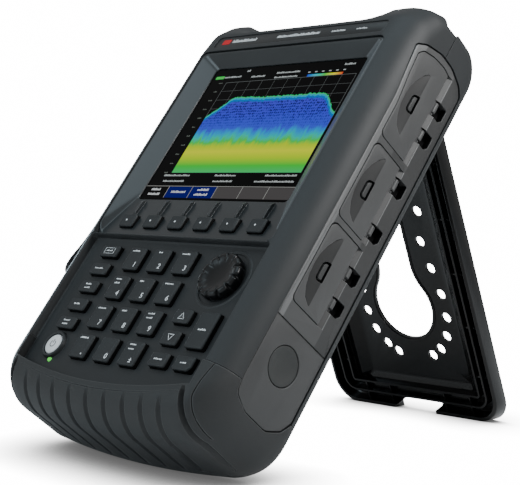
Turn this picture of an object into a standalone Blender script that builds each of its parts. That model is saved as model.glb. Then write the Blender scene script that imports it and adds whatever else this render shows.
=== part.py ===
"""Handheld network analyser, leaning back on its fold-out stand.

The analyser is modelled upright in its own millimetre frame: x to the right
seen from the front, y from the front towards the back, z from the foot of the
casing upwards.  An empty then tilts the whole casing back, so that the lower
rear edge and the foot of the stand share one floor.
"""

import math

import bmesh
import bpy
from mathutils import Matrix, Vector

MM = 0.001
GAP = 0.3

# Casing
HALF_WIDTH = 94.0
DEPTH = 71.0
TOP = 302.8
VALLEY_TOP = 287.5
EAR_RADIUS = 9.0
TILT = math.radians(38.6)
SEAM_Y = 37.0
SEAM_Z = 43.0
REAR_FOOT_RADIUS = 19.0
CAVITY_X = 84.0
CAVITY_Y = (10.0, 56.0)
CAVITY_Z = (9.0, 275.0)
CAVITY_CORNER = 16.0
BOTTOM_SAG = 4.0

# Front face
PLATE_Y = 6.5
KEY_TOP_Y = 3.2
KEYPAD_X = 78.0
KEYPAD_TOP = 117.5
ARC_CENTRE_Z = 19.6
ARC_RADIUS = 357.0
ARC_HALF = 78.2
BEZEL = (-79.0, 79.0, 118.8, 266.5)
WINDOW = (-66.0, 66.0, 150.0, 257.5)
BEZEL_CREST_Y = 1.0
BEZEL_LEDGE_Y = 3.2
BEZEL_EDGE_Y = 8.1
BEZEL_BACK_Y = 9.2

SOFTKEY = (12.6, 9.4)
SOFTKEY_Z = 130.4
SOFTKEY_PITCH = 22.8
SOFTKEY_MID_X = 1.0
FUNCTION_KEY = (16.2, 8.0)
FUNCTION_X = -54.8
FUNCTION_TOP_Z = 107.0
FUNCTION_PITCH = 13.0
NUMBER_KEY = (14.4, 15.6)
NUMBER_X = -28.3
NUMBER_TOP_Z = 102.8
NUMBER_PITCH = (22.6, 20.5)
KNOB_CENTRE = (52.6, 95.5)
KNOB_RADIUS = 14.6
KNOB_WELL_RADIUS = 17.8
KNOB_WELL_Y = 7.6
STEM_RADIUS = 3.0
POWER_CENTRE = (-56.4, 40.3)
POWER_RADIUS = 6.6
STATUS_CENTRE = (-54.0, 31.0)
STATUS_RADIUS = 1.6

# Side panels, doors and battery cover
PANEL_X = (86.6, 93.4)
PANEL_Y = (17.0, 62.3)
PANEL_CORNER_Z = 266.0
PANEL_PEAK = (40.0, 280.2)
PANEL_REAR_Z = 270.0
COVER_TOP_Z = 84.8
DOOR_Y = (21.2, 46.4)
DOOR_X = (90.4, 93.4)
DOOR_Z = ((96.4, 148.4), (153.0, 204.4), (209.6, 266.0))
DOOR_RISE = 8.5
HINGE_AT = (90.7, 50.4)
HINGE_ROD_RADIUS = 0.9
KNUCKLE_RADIUS = 1.9
NOTCH_Y = 58.0
NOTCH_Z = (((107.0, 116.0), (127.6, 136.6)), ((157.2, 166.5), (189.0, 199.5)),
           ((226.2, 236.0), (246.8, 256.8)))
TROUGH_Y = 51.0
TROUGH_X = 91.2
RELEASE_CENTRE = (38.5, 64.6)
RELEASE_RADIUS = 11.2
BATTERY_X = (-64.0, 86.0)
BATTERY_Y = (26.0, 50.0)
BATTERY_Z = (37.0, 81.0)

# Hand strap: its middle line in (x, z), half its thickness and its two edges
STRAP_LINE = ((-97.4, 93.0), (-100.6, 94.9), (-104.2, 97.4), (-106.2, 101.0), (-106.6, 105.2), (-105.8, 110.0),
              (-104.2, 116.0), (-102.9, 123.0), (-102.1, 132.0), (-101.7, 145.0), (-101.4, 158.0),
              (-100.8, 170.0), (-99.9, 181.0), (-98.7, 190.0), (-97.4, 197.0))
STRAP_HALF = 1.4
STRAP_Y = (14.0, 58.0)

# Stand
STAND_AXIS = (65.5, 270.0)
STAND_OPEN = math.radians(59.6)
STAND_DEPTH = (-5.8, 5.0)
STAND_FLOOR = 2.6
STAND_HALF_TOP = 71.0
STAND_HALF_FOOT = 72.0
STAND_FOOT_RADIUS = 18.0
BULGE_OUTSIDE = ((54.0, 18.0, 211.0, 4.0), (46.0, 27.0, 202.0, 9.6))
BULGE_INSIDE = ((52.8, 19.2, 209.8, 1.6), (43.6, 29.4, 199.6, 7.2))
STAND_RIM = 2.6
STAND_BARREL = 5.0
STAND_PIN_RADIUS = 2.0
STAND_BAY_X = 73.5
STAND_BAY_Z = 46.0
STAND_BAY_Y = 59.4
KEYHOLE = (144.5, 24.4)
KEYHOLE_NECK = 14.6
KEYHOLE_TOP = 52.0
KEYHOLE_FILLET = 30.0
RING_CENTRE = 149.6
RING_RADIUS = 35.0
RING_ANGLES = (2.5, 26.4, 47.6, 64.0)
NECK_HOLES = ((35.0, 133.9), (31.6, 115.3), (28.1, 96.0), (31.6, 74.5))
STAND_HOLE_RADIUS = 3.8


# ---------------------------------------------------------------- helpers

def clear_scene():
    for item in list(bpy.data.objects):
        bpy.data.objects.remove(item, do_unlink=True)


def arc(centre, radius, start, end, steps):
    """Points on a circle between two angles in degrees, both ends included."""
    points = []
    for i in range(steps + 1):
        angle = math.radians(start + (end - start) * i / steps)
        points.append((centre[0] + radius * math.cos(angle),
                       centre[1] + radius * math.sin(angle)))
    return points


def rectangle(x0, x1, z0, z1):
    return [(x0, z0), (x1, z0), (x1, z1), (x0, z1)]


def rounded_rectangle(x0, x1, z0, z1, radius, steps=3):
    outline = []
    corners = (((x1 - radius, z0 + radius), -90), ((x1 - radius, z1 - radius), 0),
               ((x0 + radius, z1 - radius), 90), ((x0 + radius, z0 + radius), 180))
    for centre, start in corners:
        outline += arc(centre, radius, start, start + 90, steps)
    return outline


def placed(a, b, level, plane):
    """A point of a drawing plane, in millimetres, at a level across it."""
    if plane == "xz":
        return Vector((a, level, b)) * MM
    if plane == "yz":
        return Vector((level, a, b)) * MM
    return Vector((a, b, level)) * MM


def new_object(name, bm):
    bmesh.ops.recalc_face_normals(bm, faces=bm.faces)
    mesh = bpy.data.meshes.new(name)
    bm.to_mesh(mesh)
    bm.free()
    item = bpy.data.objects.new(name, mesh)
    bpy.context.collection.objects.link(item)
    return item


def add_rings(bm, rings, closed=False):
    """Skin a list of equally long point rings; open lists get end caps."""
    loops = []
    for ring in rings:
        loops.append([bm.verts.new(point) for point in ring])
    pairs = list(zip(loops, loops[1:]))
    if closed:
        pairs.append((loops[-1], loops[0]))
    for low, high in pairs:
        count = len(low)
        for i in range(count):
            j = (i + 1) % count
            bm.faces.new((low[i], low[j], high[j], high[i]))
    if not closed:
        bm.faces.new(list(reversed(loops[0])))
        bm.faces.new(loops[-1])


def prism(name, outlines, plane, low, high):
    """Straight extrusions of one or more outlines, as one object."""
    bm = bmesh.new()
    for outline in outlines:
        rings = [[placed(a, b, level, plane) for a, b in outline] for level in (low, high)]
        add_rings(bm, rings)
    return new_object(name, bm)


def tapered(name, levels, plane):
    """A stack of outlines with equal point counts, skinned and capped."""
    bm = bmesh.new()
    add_rings(bm, [[placed(a, b, level, plane) for a, b in outline] for outline, level in levels])
    return new_object(name, bm)


def turned(name, profile, steps, origin, axis):
    """A body of revolution; profile is (radius, height), pole to pole or a ring."""
    bm = bmesh.new()
    turn = Vector(axis).to_track_quat("Z", "X").to_matrix()
    base = Vector(origin)

    def spot(radius, height, i):
        angle = 2 * math.pi * i / steps
        local = Vector((radius * math.cos(angle), radius * math.sin(angle), height))
        return (base + turn @ local) * MM

    loops = []
    for radius, height in profile:
        if radius == 0:
            loops.append([bm.verts.new(spot(0, height, 0))])
        else:
            loops.append([bm.verts.new(spot(radius, height, i)) for i in range(steps)])
    pairs = list(zip(loops, loops[1:]))
    if len(loops[0]) > 1:
        pairs.append((loops[-1], loops[0]))
    for low, high in pairs:
        for i in range(steps):
            j = (i + 1) % steps
            if len(low) == 1:
                bm.faces.new((low[0], high[j], high[i]))
            elif len(high) == 1:
                bm.faces.new((low[i], low[j], high[0]))
            else:
                bm.faces.new((low[i], low[j], high[j], high[i]))
    return new_object(name, bm)


def combine(target, tool, operation="DIFFERENCE"):
    """Boolean the tool into the target and drop the tool."""
    modifier = target.modifiers.new(operation.title(), "BOOLEAN")
    modifier.operation = operation
    modifier.solver = "EXACT"
    modifier.object = tool
    graph = bpy.context.evaluated_depsgraph_get()
    graph.update()
    mesh = bpy.data.meshes.new_from_object(target.evaluated_get(graph))
    target.modifiers.clear()
    old = target.data
    target.data = mesh
    mesh.name = target.name
    bpy.data.meshes.remove(old)
    bpy.data.objects.remove(tool, do_unlink=True)
    return target


def copy_of(item, name):
    twin = bpy.data.objects.new(name, item.data.copy())
    bpy.context.collection.objects.link(twin)
    return twin


# ---------------------------------------------------------------- materials

LOOKS = {
    "shell": ((0.030, 0.033, 0.035), 0.55, 0.0),
    "panel": ((0.075, 0.078, 0.080), 0.55, 0.0),
    "bumper": ((0.045, 0.046, 0.047), 0.70, 0.0),
    "bezel": ((0.055, 0.062, 0.066), 0.50, 0.0),
    "key": ((0.040, 0.045, 0.048), 0.60, 0.0),
    "knob": ((0.012, 0.012, 0.013), 0.45, 0.0),
    "glass": ((0.010, 0.010, 0.012), 0.08, 0.0),
    "screen": ((0.020, 0.030, 0.200), 0.30, 0.0),
    "silver": ((0.600, 0.600, 0.600), 0.35, 0.0),
    "lens": ((0.050, 0.600, 0.080), 0.25, 0.0),
    "stand": ((0.008, 0.008, 0.009), 0.20, 0.0),
    "steel": ((0.550, 0.550, 0.560), 0.30, 1.0),
    "webbing": ((0.010, 0.010, 0.011), 0.85, 0.0),
    "board": ((0.020, 0.120, 0.050), 0.50, 0.0),
}


def finish(item, look):
    name = "finish_" + look
    material = bpy.data.materials.get(name)
    if material is None:
        material = bpy.data.materials.new(name)
        material.use_nodes = True
        colour, roughness, metallic = LOOKS[look]
        shader = material.node_tree.nodes["Principled BSDF"]
        shader.inputs["Base Color"].default_value = (*colour, 1.0)
        shader.inputs["Roughness"].default_value = roughness
        shader.inputs["Metallic"].default_value = metallic
    own = material.copy()
    own.name = "finish_" + item.name
    item.data.materials.clear()
    item.data.materials.append(own)
    return item


# ---------------------------------------------------------------- casing

def side_outline():
    """The casing seen from its side, in (y, z)."""
    foot = (DEPTH - REAR_FOOT_RADIUS, REAR_FOOT_RADIUS)
    outline = arc((24.0, 24.0), 24.0, 180, 270, 6)
    outline += arc(foot, REAR_FOOT_RADIUS, -90, 0, 6)
    outline += arc((DEPTH - 21.0, TOP - 21.5), 21.0, 0, 90, 5)
    outline += [(43.8, TOP - 0.8), (39.2, TOP - 3.0), (36.2, TOP - 6.2), (27.2, TOP - 6.5),
                (24.9, TOP - 0.7), (21.0, TOP), (13.4, TOP - 2.6), (7.4, TOP - 7.4),
                (3.8, TOP - 14.4), (1.4, TOP - 24.0), (0.0, TOP - 36.0)]
    return outline


def front_outline():
    """The casing seen from the front, in (x, z); the foot sags to the middle."""
    steps = 9
    half = 70.0
    outline = []
    for i in range(steps + 1):
        x = -half + 2 * half * i / steps
        outline.append((x, BOTTOM_SAG * (x / half) ** 2))
    outline += arc((half, 28.0), 24.0, -75, 0, 4)
    outline += arc((HALF_WIDTH - EAR_RADIUS, TOP - EAR_RADIUS), EAR_RADIUS, 0, 90, 4)
    outline += [(66.0, TOP), (52.0, VALLEY_TOP + 1.5), (46.0, VALLEY_TOP),
                (-46.0, VALLEY_TOP), (-52.0, VALLEY_TOP + 1.5), (-66.0, TOP)]
    outline += arc((EAR_RADIUS - HALF_WIDTH, TOP - EAR_RADIUS), EAR_RADIUS, 90, 180, 4)
    outline += arc((-half, 28.0), 24.0, 180, 255, 4)
    return outline


def plan_outline():
    """The casing's cross-section, in (x, y)."""
    outline = arc((HALF_WIDTH - 20.0, 20.0), 20.0, -90, 0, 5)
    outline += arc((HALF_WIDTH - 10.0, DEPTH - 10.0), 10.0, 0, 90, 3)
    outline += arc((10.0 - HALF_WIDTH, DEPTH - 10.0), 10.0, 90, 180, 3)
    outline += arc((20.0 - HALF_WIDTH, 20.0), 20.0, 180, 270, 5)
    return outline


def casing_block():
    block = prism("casing_block", [front_outline()], "xz", -5, DEPTH + 5)
    side = prism("side_tool", [side_outline()], "yz", -HALF_WIDTH - 5, HALF_WIDTH + 5)
    plan = prism("plan_tool", [plan_outline()], "xy", -5, TOP + 5)
    combine(block, side, "INTERSECT")
    combine(block, plan, "INTERSECT")
    return block


def box_tool(x, y, z):
    return prism("tool", [rectangle(x[0], x[1], z[0], z[1])], "xz", y[0], y[1])


def panel_outline(low_z, grow=0.0):
    """Side panel from a level line up to its arched top, in (y, z)."""
    y0, y1 = PANEL_Y[0] - grow, PANEL_Y[1] + grow
    peak = (PANEL_PEAK[0], PANEL_PEAK[1] + grow)
    return [(y0, low_z), (y1, low_z), (y1, PANEL_REAR_Z + grow), (57.0, 276.4 + grow),
            (50.0, 279.4 + grow), peak, (30.0, 278.0 + grow), (22.0, 274.2 + grow),
            (18.4 - grow / 2, 270.6 + grow), (y0, PANEL_CORNER_Z)]


def cover_outline(top_z, grow=0.0):
    """Battery cover with its curved lower end, in (y, z)."""
    y0, y1 = PANEL_Y[0] - grow, PANEL_Y[1] + grow
    return [(y0, top_z), (y0, 45.0), (y0 + 1.5, 39.0 - grow), (24.0, 34.0 - grow),
            (32.0, 31.4 - grow), (42.0, 30.8 - grow), (51.0, 32.6 - grow),
            (57.0, 37.5 - grow), (y1, 44.0 - grow), (y1, top_z)]


def whole_side_outline(grow):
    """Panel and cover together, the pocket that the shells leave for them."""
    lower = cover_outline(COVER_TOP_Z, grow)[1:-1]
    upper = panel_outline(COVER_TOP_Z, grow)[2:]
    return lower + upper


def side_pockets():
    outline = whole_side_outline(GAP)
    right = prism("tool", [outline], "yz", PANEL_X[0] - GAP, HALF_WIDTH + 9)
    left = prism("tool", [outline], "yz", -HALF_WIDTH - 9, GAP - PANEL_X[0])
    return right, left


def front_tongue(grow):
    """The keypad tongue of the front shell, bounded below by the bumper's arc."""
    half = ARC_HALF + grow
    steps = 10
    outline = [(half, 60.0), (-half, 60.0)]
    for i in range(steps + 1):
        x = -half + 2 * half * i / steps
        outline.append((x, ARC_CENTRE_Z - grow + x * x / (2 * ARC_RADIUS)))
    return outline


def bumper_zone(grow):
    """The space below the casing's lower seam, without the keypad tongue."""
    zone = box_tool((-110, 110), (-10, 90), (-10, SEAM_Z + grow))
    tongue = prism("tool", [front_tongue(-grow)], "xz", -20, 12.0 - grow)
    return combine(zone, tongue)


def cavity():
    low, high = CAVITY_Z
    inner = CAVITY_X - CAVITY_CORNER
    outline = [(-inner, low), (inner, low), (CAVITY_X, low + CAVITY_CORNER), (CAVITY_X, high),
               (-CAVITY_X, high), (-CAVITY_X, low + CAVITY_CORNER)]
    return prism("tool", [outline], "xz", *CAVITY_Y)


def battery_mouth():
    """The opening that the battery pack slides through, behind its cover."""
    y = (BATTERY_Y[0] - GAP, BATTERY_Y[1] + GAP)
    z = (BATTERY_Z[0] - GAP, BATTERY_Z[1] + GAP)
    return box_tool((CAVITY_X - 1.0, PANEL_X[0]), y, z)


def key_table():
    """Every key: name, centre x, centre z, width, height."""
    keys = []
    for i in range(6):
        x = SOFTKEY_MID_X + SOFTKEY_PITCH * (i - 2.5)
        keys.append((f"softkey_{i + 1}", x, SOFTKEY_Z, *SOFTKEY))
    for i in range(5):
        keys.append((f"function_key_{i + 1}", FUNCTION_X, FUNCTION_TOP_Z - FUNCTION_PITCH * i,
                     *FUNCTION_KEY))
    names = ("1", "2", "3", "4", "5", "6", "7", "8", "9", "point", "0", "sign")
    for i, label in enumerate(names):
        x = NUMBER_X + NUMBER_PITCH[0] * (i % 3)
        z = NUMBER_TOP_Z - NUMBER_PITCH[1] * (i // 3)
        keys.append(("number_key_" + label, x, z, *NUMBER_KEY))
    keys.append(("up_key", 40.8, 68.2, 13.6, 8.8))
    keys.append(("down_key", 40.8, 54.2, 13.6, 8.8))
    keys.append(("enter_key", 61.9, 61.2, 14.6, 22.8))
    keys.append(("back_key", 41.4, 40.3, 14.2, 8.8))
    keys.append(("esc_key", 61.9, 40.4, 14.6, 9.0))
    return keys


def key_hole(x, z, width, height):
    half_x, half_z = width / 2 + GAP, height / 2 + GAP
    return rectangle(x - half_x, x + half_x, z - half_z, z + half_z)


def circle(centre, radius, steps=16):
    return arc(centre, radius, 0, 360, steps)[:-1]


def make_front_shell(block):
    shell = copy_of(block, "front_shell")
    combine(shell, box_tool((-110, 110), (SEAM_Y - GAP / 2, 90), (-10, TOP + 10)))
    combine(shell, bumper_zone(GAP))
    for pocket in side_pockets():
        combine(shell, pocket)
    combine(shell, cavity())
    combine(shell, battery_mouth())
    wide, narrow = KEYPAD_X + 2.4, KEYPAD_X - 2.4
    low = 8.0
    recess = tapered("tool", [(rectangle(-wide, wide, low, KEYPAD_TOP + 1.0), -1.0),
                              (rectangle(-wide, wide, low, KEYPAD_TOP + 1.0), 1.6),
                              (rectangle(-narrow, narrow, low, KEYPAD_TOP - 0.6), PLATE_Y)], "xz")
    combine(shell, recess)
    x0, x1, z0, z1 = BEZEL
    opening = rounded_rectangle(x0 - GAP, x1 + GAP, z0 - GAP, z1 + GAP, 4.0)
    combine(shell, prism("tool", [opening], "xz", -5, CAVITY_Y[0] + 2))
    strip = tapered("tool", [(rectangle(-72.0, 74.0, 269.6, 280.4), -1.0),
                             (rectangle(-72.0, 74.0, 269.6, 280.4), 1.8)], "xz")
    combine(shell, strip)
    holes = [key_hole(*entry[1:]) for entry in key_table() if not entry[0].startswith("softkey")]
    holes.append(circle(POWER_CENTRE, POWER_RADIUS + GAP))
    holes.append(circle(STATUS_CENTRE, STATUS_RADIUS + GAP, 10))
    holes.append(circle(KNOB_CENTRE, STEM_RADIUS + GAP, 12))
    combine(shell, prism("tool", holes, "xz", -5, CAVITY_Y[0] + 2))
    combine(shell, prism("tool", [circle(KNOB_CENTRE, KNOB_WELL_RADIUS, 24)], "xz", 0, KNOB_WELL_Y))
    combine(shell, connector_bay())
    return finish(shell, "shell")


def connector_bay():
    """The sunk shelf between the four ears, where the connectors stand."""
    return box_tool((-50.0, 50.0), (17.0, 57.5), (CAVITY_Z[1] + 3.5, TOP + 10))


def make_rear_shell(block):
    shell = copy_of(block, "rear_shell")
    combine(shell, box_tool((-110, 110), (-20, SEAM_Y + GAP / 2), (-10, TOP + 10)))
    combine(shell, bumper_zone(GAP))
    for pocket in side_pockets():
        combine(shell, pocket)
    combine(shell, cavity())
    combine(shell, battery_mouth())
    combine(shell, connector_bay())
    bay = rectangle(-STAND_BAY_X, STAND_BAY_X, STAND_BAY_Z, STAND_AXIS[1] + STAND_BARREL + 1.5)
    combine(shell, prism("tool", [bay], "xz", STAND_BAY_Y, 90))
    reach = STAND_BAY_X + 8.0
    pins = [circle(STAND_AXIS, STAND_PIN_RADIUS + GAP, 12)]
    combine(shell, prism("tool", pins, "yz", -reach, reach))
    return finish(shell, "shell")


def make_bumper(block):
    bumper = copy_of(block, "bottom_bumper")
    zone = bumper_zone(0.0)
    combine(bumper, zone, "INTERSECT")
    for pocket in side_pockets():
        combine(bumper, pocket)
    combine(bumper, cavity())
    combine(bumper, battery_mouth())
    bay = box_tool((-STAND_BAY_X, STAND_BAY_X), (STAND_BAY_Y, 90), (SEAM_Z - 3.0, 90))
    combine(bumper, bay)
    combine(bumper, rib_grooves())
    return finish(bumper, "bumper")


def rib_grooves():
    """Bands that cut the grip grooves into the bumper's front and underside."""
    depth = 1.5
    outer = arc((24.0, 24.0), 30.0, 184, 270, 6) + [(50.0, -6.0), (50.0, depth + 4.5)]
    inner = [(24.0, depth + 4.5)] + list(reversed(arc((24.0, 24.0), 24.0 - depth - 0.8, 184, 262, 5)))
    outline = outer + inner
    bm = bmesh.new()
    count = 10
    for i in range(count):
        x = -63.0 + 126.0 * i / (count - 1)
        drop = BOTTOM_SAG * (1 - (x / 70.0) ** 2)
        shift = [(a, b - drop) for a, b in outline]
        add_rings(bm, [[placed(a, b, x + side, "yz") for a, b in shift] for side in (-1.1, 1.1)])
    return new_object("tool", bm)


def make_bezel():
    x0, x1, z0, z1 = BEZEL
    wx0, wx1, wz0, wz1 = WINDOW

    def ring(inset, radius, level, ledge=None):
        outline = rounded_rectangle(x0 + inset, x1 - inset, z0 + inset, z1 - inset, radius)
        middle = (z0 + z1) / 2
        return [Vector((a, ledge if ledge is not None and b < middle else level, b)) * MM
                for a, b in outline]

    def window_ring(level):
        outline = rounded_rectangle(wx0, wx1, wz0, wz1, 0.6)
        return [Vector((a, level, b)) * MM for a, b in outline]

    bm = bmesh.new()
    add_rings(bm, [ring(0.0, 3.6, BEZEL_BACK_Y), ring(0.0, 3.6, BEZEL_CREST_Y + 1.0, BEZEL_LEDGE_Y + 0.8),
                   ring(0.9, 3.0, BEZEL_CREST_Y, BEZEL_LEDGE_Y), ring(2.2, 2.0, BEZEL_CREST_Y + 0.2, BEZEL_LEDGE_Y),
                   window_ring(BEZEL_EDGE_Y), window_ring(BEZEL_BACK_Y)], closed=True)
    bezel = new_object("display_bezel", bm)
    holes = [key_hole(*entry[1:]) for entry in key_table() if entry[0].startswith("softkey")]
    combine(bezel, prism("tool", holes, "xz", -5, 15))
    return finish(bezel, "bezel")


def make_display():
    x0, x1, z0, z1 = WINDOW
    window = prism("display_window", [rectangle(x0 - 3, x1 + 3, z0 - 3, z1 + 3)], "xz", 9.5, 11.0)
    finish(window, "glass")
    panel = prism("lcd_panel", [rectangle(x0 - 4, x1 + 4, z0 - 4, z1 + 4)], "xz", 11.3, 17.0)
    finish(panel, "screen")


# ---------------------------------------------------------------- controls

def make_key(name, x, z, width, height):
    soft = name.startswith("softkey")
    back = BEZEL_BACK_Y if soft else CAVITY_Y[0]

    def outline(grow):
        half_x, half_z = width / 2 + grow, height / 2 + grow
        points = rectangle(-half_x, half_x, -half_z, half_z)
        if name == "esc_key":
            points[1:2] = [(half_x - 2.6, -half_z), (half_x, 2.6 - half_z)]
        return [(x + a, z + b) for a, b in points]

    levels = [(outline(-0.6), KEY_TOP_Y), (outline(0.0), KEY_TOP_Y + 0.6),
              (outline(0.0), back + GAP), (outline(0.9), back + GAP), (outline(0.9), back + 1.5)]
    return finish(tapered(name, levels, "xz"), "key")


def make_controls():
    for entry in key_table():
        make_key(*entry)
    mat_levels = rectangle(-68.0, 73.0, 34.0, 138.0)
    mat = prism("keypad_mat", [mat_levels], "xz", CAVITY_Y[0] + 3.0, CAVITY_Y[0] + 4.4)
    combine(mat, prism("tool", [circle(KNOB_CENTRE, 14.0, 16)], "xz", 0, 30))
    finish(mat, "key")

    back = CAVITY_Y[0]
    power = [(0, 4.2), (POWER_RADIUS - 0.6, 4.2), (POWER_RADIUS, 4.8), (POWER_RADIUS, back + GAP),
             (POWER_RADIUS + 0.9, back + GAP), (POWER_RADIUS + 0.9, back + 1.5), (0, back + 1.5)]
    origin = (POWER_CENTRE[0], 0, POWER_CENTRE[1])
    finish(turned("power_button", power, 20, origin, (0, 1, 0)), "silver")

    lens = [(0, 6.0), (STATUS_RADIUS, 6.3), (STATUS_RADIUS, back), (0, back)]
    origin = (STATUS_CENTRE[0], 0, STATUS_CENTRE[1])
    finish(turned("status_lens", lens, 10, origin, (0, 1, 0)), "lens")

    rim = KNOB_RADIUS
    knob = [(0, 2.4), (8.0, 2.2), (11.0, 0.8), (rim - 1.0, 0.6), (rim, 1.6), (rim, 6.4),
            (rim - 1.6, KNOB_WELL_Y - GAP), (STEM_RADIUS, KNOB_WELL_Y - GAP), (STEM_RADIUS, 14.0), (0, 14.0)]
    origin = (KNOB_CENTRE[0], 0, KNOB_CENTRE[1])
    finish(turned("knob", knob, 32, origin, (0, 1, 0)), "knob")

    half = 7.0
    x, z = KNOB_CENTRE
    body = rectangle(x - half, x + half, z - half, z + half)
    encoder = prism("rotary_encoder", [body], "xz", back + GAP, 20.0)
    combine(encoder, prism("tool", [circle(KNOB_CENTRE, STEM_RADIUS + GAP, 12)], "xz", 0, 15.0))
    finish(encoder, "steel")


# ---------------------------------------------------------------- sides

def door_outline(index, shrink=0.0):
    """Access door, in (y, z); the top door follows the panel's arched top."""
    y0, y1 = DOOR_Y[0] + shrink, DOOR_Y[1] - shrink
    z0, z1 = DOOR_Z[index][0] + shrink, DOOR_Z[index][1] - shrink
    if index < 2:
        return [(y0 + 2.5, z0), (y1, z0), (y1, z1), (y0 + 4.0, z1 - 0.6),
                (y0 + 1.2, z1 - 2.0), (y0, z1 - 5.0), (y0, z0 + 4.0), (y0 + 0.8, z0 + 1.0)]
    top = z1 + DOOR_RISE
    return [(y0 + 2.5, z0), (y1, z0), (y1, top), (y1 - 6.0, top - 0.6), (y1 - 13.0, top - 2.8),
            (y0 + 4.0, top - 7.0), (y0 + 1.2, z1 - 0.6), (y0, z1 - 4.0), (y0, z0 + 4.0), (y0 + 0.8, z0 + 1.0)]


def hinge_trough(index):
    """A chamfer beside the door's rear edge, so that the edge can swing out."""
    wall = DOOR_Y[1] + GAP
    profile = [(TROUGH_X, wall - 1.0), (TROUGH_X, wall), (DOOR_X[1], TROUGH_Y),
               (DOOR_X[1] + 5, TROUGH_Y + 1.0), (DOOR_X[1] + 5, wall - 1.0)]
    low, high = DOOR_Z[index]
    if index == 2:
        high += DOOR_RISE
    return prism("tool", [profile], "xy", low - GAP, high + GAP)


def make_right_panel():
    panel = prism("right_side_panel", [panel_outline(COVER_TOP_Z + GAP)], "yz", *PANEL_X)
    doors = [door_outline(i, -GAP) for i in range(3)]
    combine(panel, prism("tool", doors, "yz", DOOR_X[0] - GAP, HALF_WIDTH + 9))
    notches = []
    for i in range(3):
        combine(panel, hinge_trough(i))
        for z0, z1 in NOTCH_Z[i]:
            notches.append(rectangle(DOOR_Y[1] - 1.0, NOTCH_Y, z0 - GAP, z1 + GAP))
    combine(panel, prism("tool", notches, "yz", HINGE_AT[0] - KNUCKLE_RADIUS - GAP, HALF_WIDTH + 9))
    bore = prism("tool", [circle(HINGE_AT, HINGE_ROD_RADIUS + GAP, 10)], "xy", 93.0, 268.5)
    combine(panel, bore)
    return finish(panel, "panel")


def make_left_panel():
    outline = whole_side_outline(0.0)
    panel = prism("left_side_panel", [outline], "yz", -PANEL_X[1], -PANEL_X[0])
    return finish(panel, "panel")


def make_doors():
    x_axis, y_axis = HINGE_AT
    for i in range(3):
        name = f"access_door_{i + 1}"
        door = prism(name, [door_outline(2 - i)], "yz", *DOOR_X)
        scoop_mid = (31.0, (DOOR_Z[2 - i][0] + DOOR_Z[2 - i][1]) / 2)
        leaf = [(scoop_mid[0] + 2.6, scoop_mid[1] - 21.0), (scoop_mid[0] + 3.0, scoop_mid[1] + 18.5),
                (scoop_mid[0] + 0.6, scoop_mid[1] + 18.0), (scoop_mid[0] - 3.6, scoop_mid[1] + 8.0),
                (scoop_mid[0] - 5.0, scoop_mid[1] - 3.0), (scoop_mid[0] - 4.0, scoop_mid[1] - 13.0)]
        combine(door, prism("tool", [leaf], "yz", DOOR_X[1] - 1.2, DOOR_X[1] + 5))
        for z0, z1 in NOTCH_Z[2 - i]:
            arm = [(DOOR_Y[1] - 2.0, z0), (y_axis, z0), (y_axis, z1), (DOOR_Y[1] - 2.0, z1)]
            combine(door, prism("tool", [arm], "yz", x_axis - 0.1, x_axis + KNUCKLE_RADIUS - 0.1), "UNION")
            knuckle = prism("tool", [circle(HINGE_AT, KNUCKLE_RADIUS, 12)], "xy", z0, z1)
            combine(door, knuckle, "UNION")
        bore = prism("tool", [circle(HINGE_AT, HINGE_ROD_RADIUS + GAP, 10)], "xy", 60.0, 290.0)
        combine(door, bore)
        finish(door, "panel")
    rod = prism("door_hinge_rod", [circle(HINGE_AT, HINGE_ROD_RADIUS, 10)], "xy", 94.0, 267.5)
    finish(rod, "steel")


def make_battery_bay():
    cover = prism("battery_cover", [cover_outline(COVER_TOP_Z)], "yz", *PANEL_X)
    combine(cover, prism("tool", [circle(RELEASE_CENTRE, RELEASE_RADIUS + GAP, 24)], "yz",
                         PANEL_X[1] - 3.0, HALF_WIDTH + 9))
    finish(cover, "panel")
    origin = (0, *RELEASE_CENTRE)
    face = PANEL_X[1] - 0.2
    profile = [(0, face - 1.0), (RELEASE_RADIUS - 4.0, face - 0.7), (RELEASE_RADIUS - 0.5, face),
               (RELEASE_RADIUS, face - 0.4), (RELEASE_RADIUS, face - 1.6), (0, face - 1.6)]
    button = turned("battery_release_button", profile, 24, origin, (1, 0, 0))
    finish(button, "panel")
    pack = box_tool(BATTERY_X, BATTERY_Y, BATTERY_Z)
    pack.name = "battery_pack"
    finish(pack, "knob")


def make_strap():
    """Hand strap on the left side, bowed clear of the casing, with its anchors."""
    y0, y1 = STRAP_Y
    low_z, high_z = STRAP_LINE[0][1], STRAP_LINE[-1][1]
    outer, inner = [], []
    for i, (x, z) in enumerate(STRAP_LINE):
        normal = Vector((-1.0, 0.0))
        if 0 < i < len(STRAP_LINE) - 1:
            run = Vector(STRAP_LINE[i + 1]) - Vector(STRAP_LINE[i - 1])
            normal = Vector((-run.y, run.x)).normalized()
        outer.append((x + normal.x * STRAP_HALF, z + normal.y * STRAP_HALF))
        inner.append((x - normal.x * STRAP_HALF, z - normal.y * STRAP_HALF))
    strap = prism("hand_strap", [outer + inner[::-1]], "xz", y0, y1)
    finish(strap, "webbing")
    for name, z0, z1 in (("strap_anchor_lower", low_z - 7.0, low_z - GAP),
                         ("strap_anchor_upper", high_z + GAP, high_z + 7.0)):
        anchor = box_tool((-HALF_WIDTH - 5.0, -PANEL_X[1] - GAP), (y0 - 1.0, y1 + 1.0), (z0, z1))
        anchor.name = name
        finish(anchor, "knob")


# ---------------------------------------------------------------- top and insides

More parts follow.
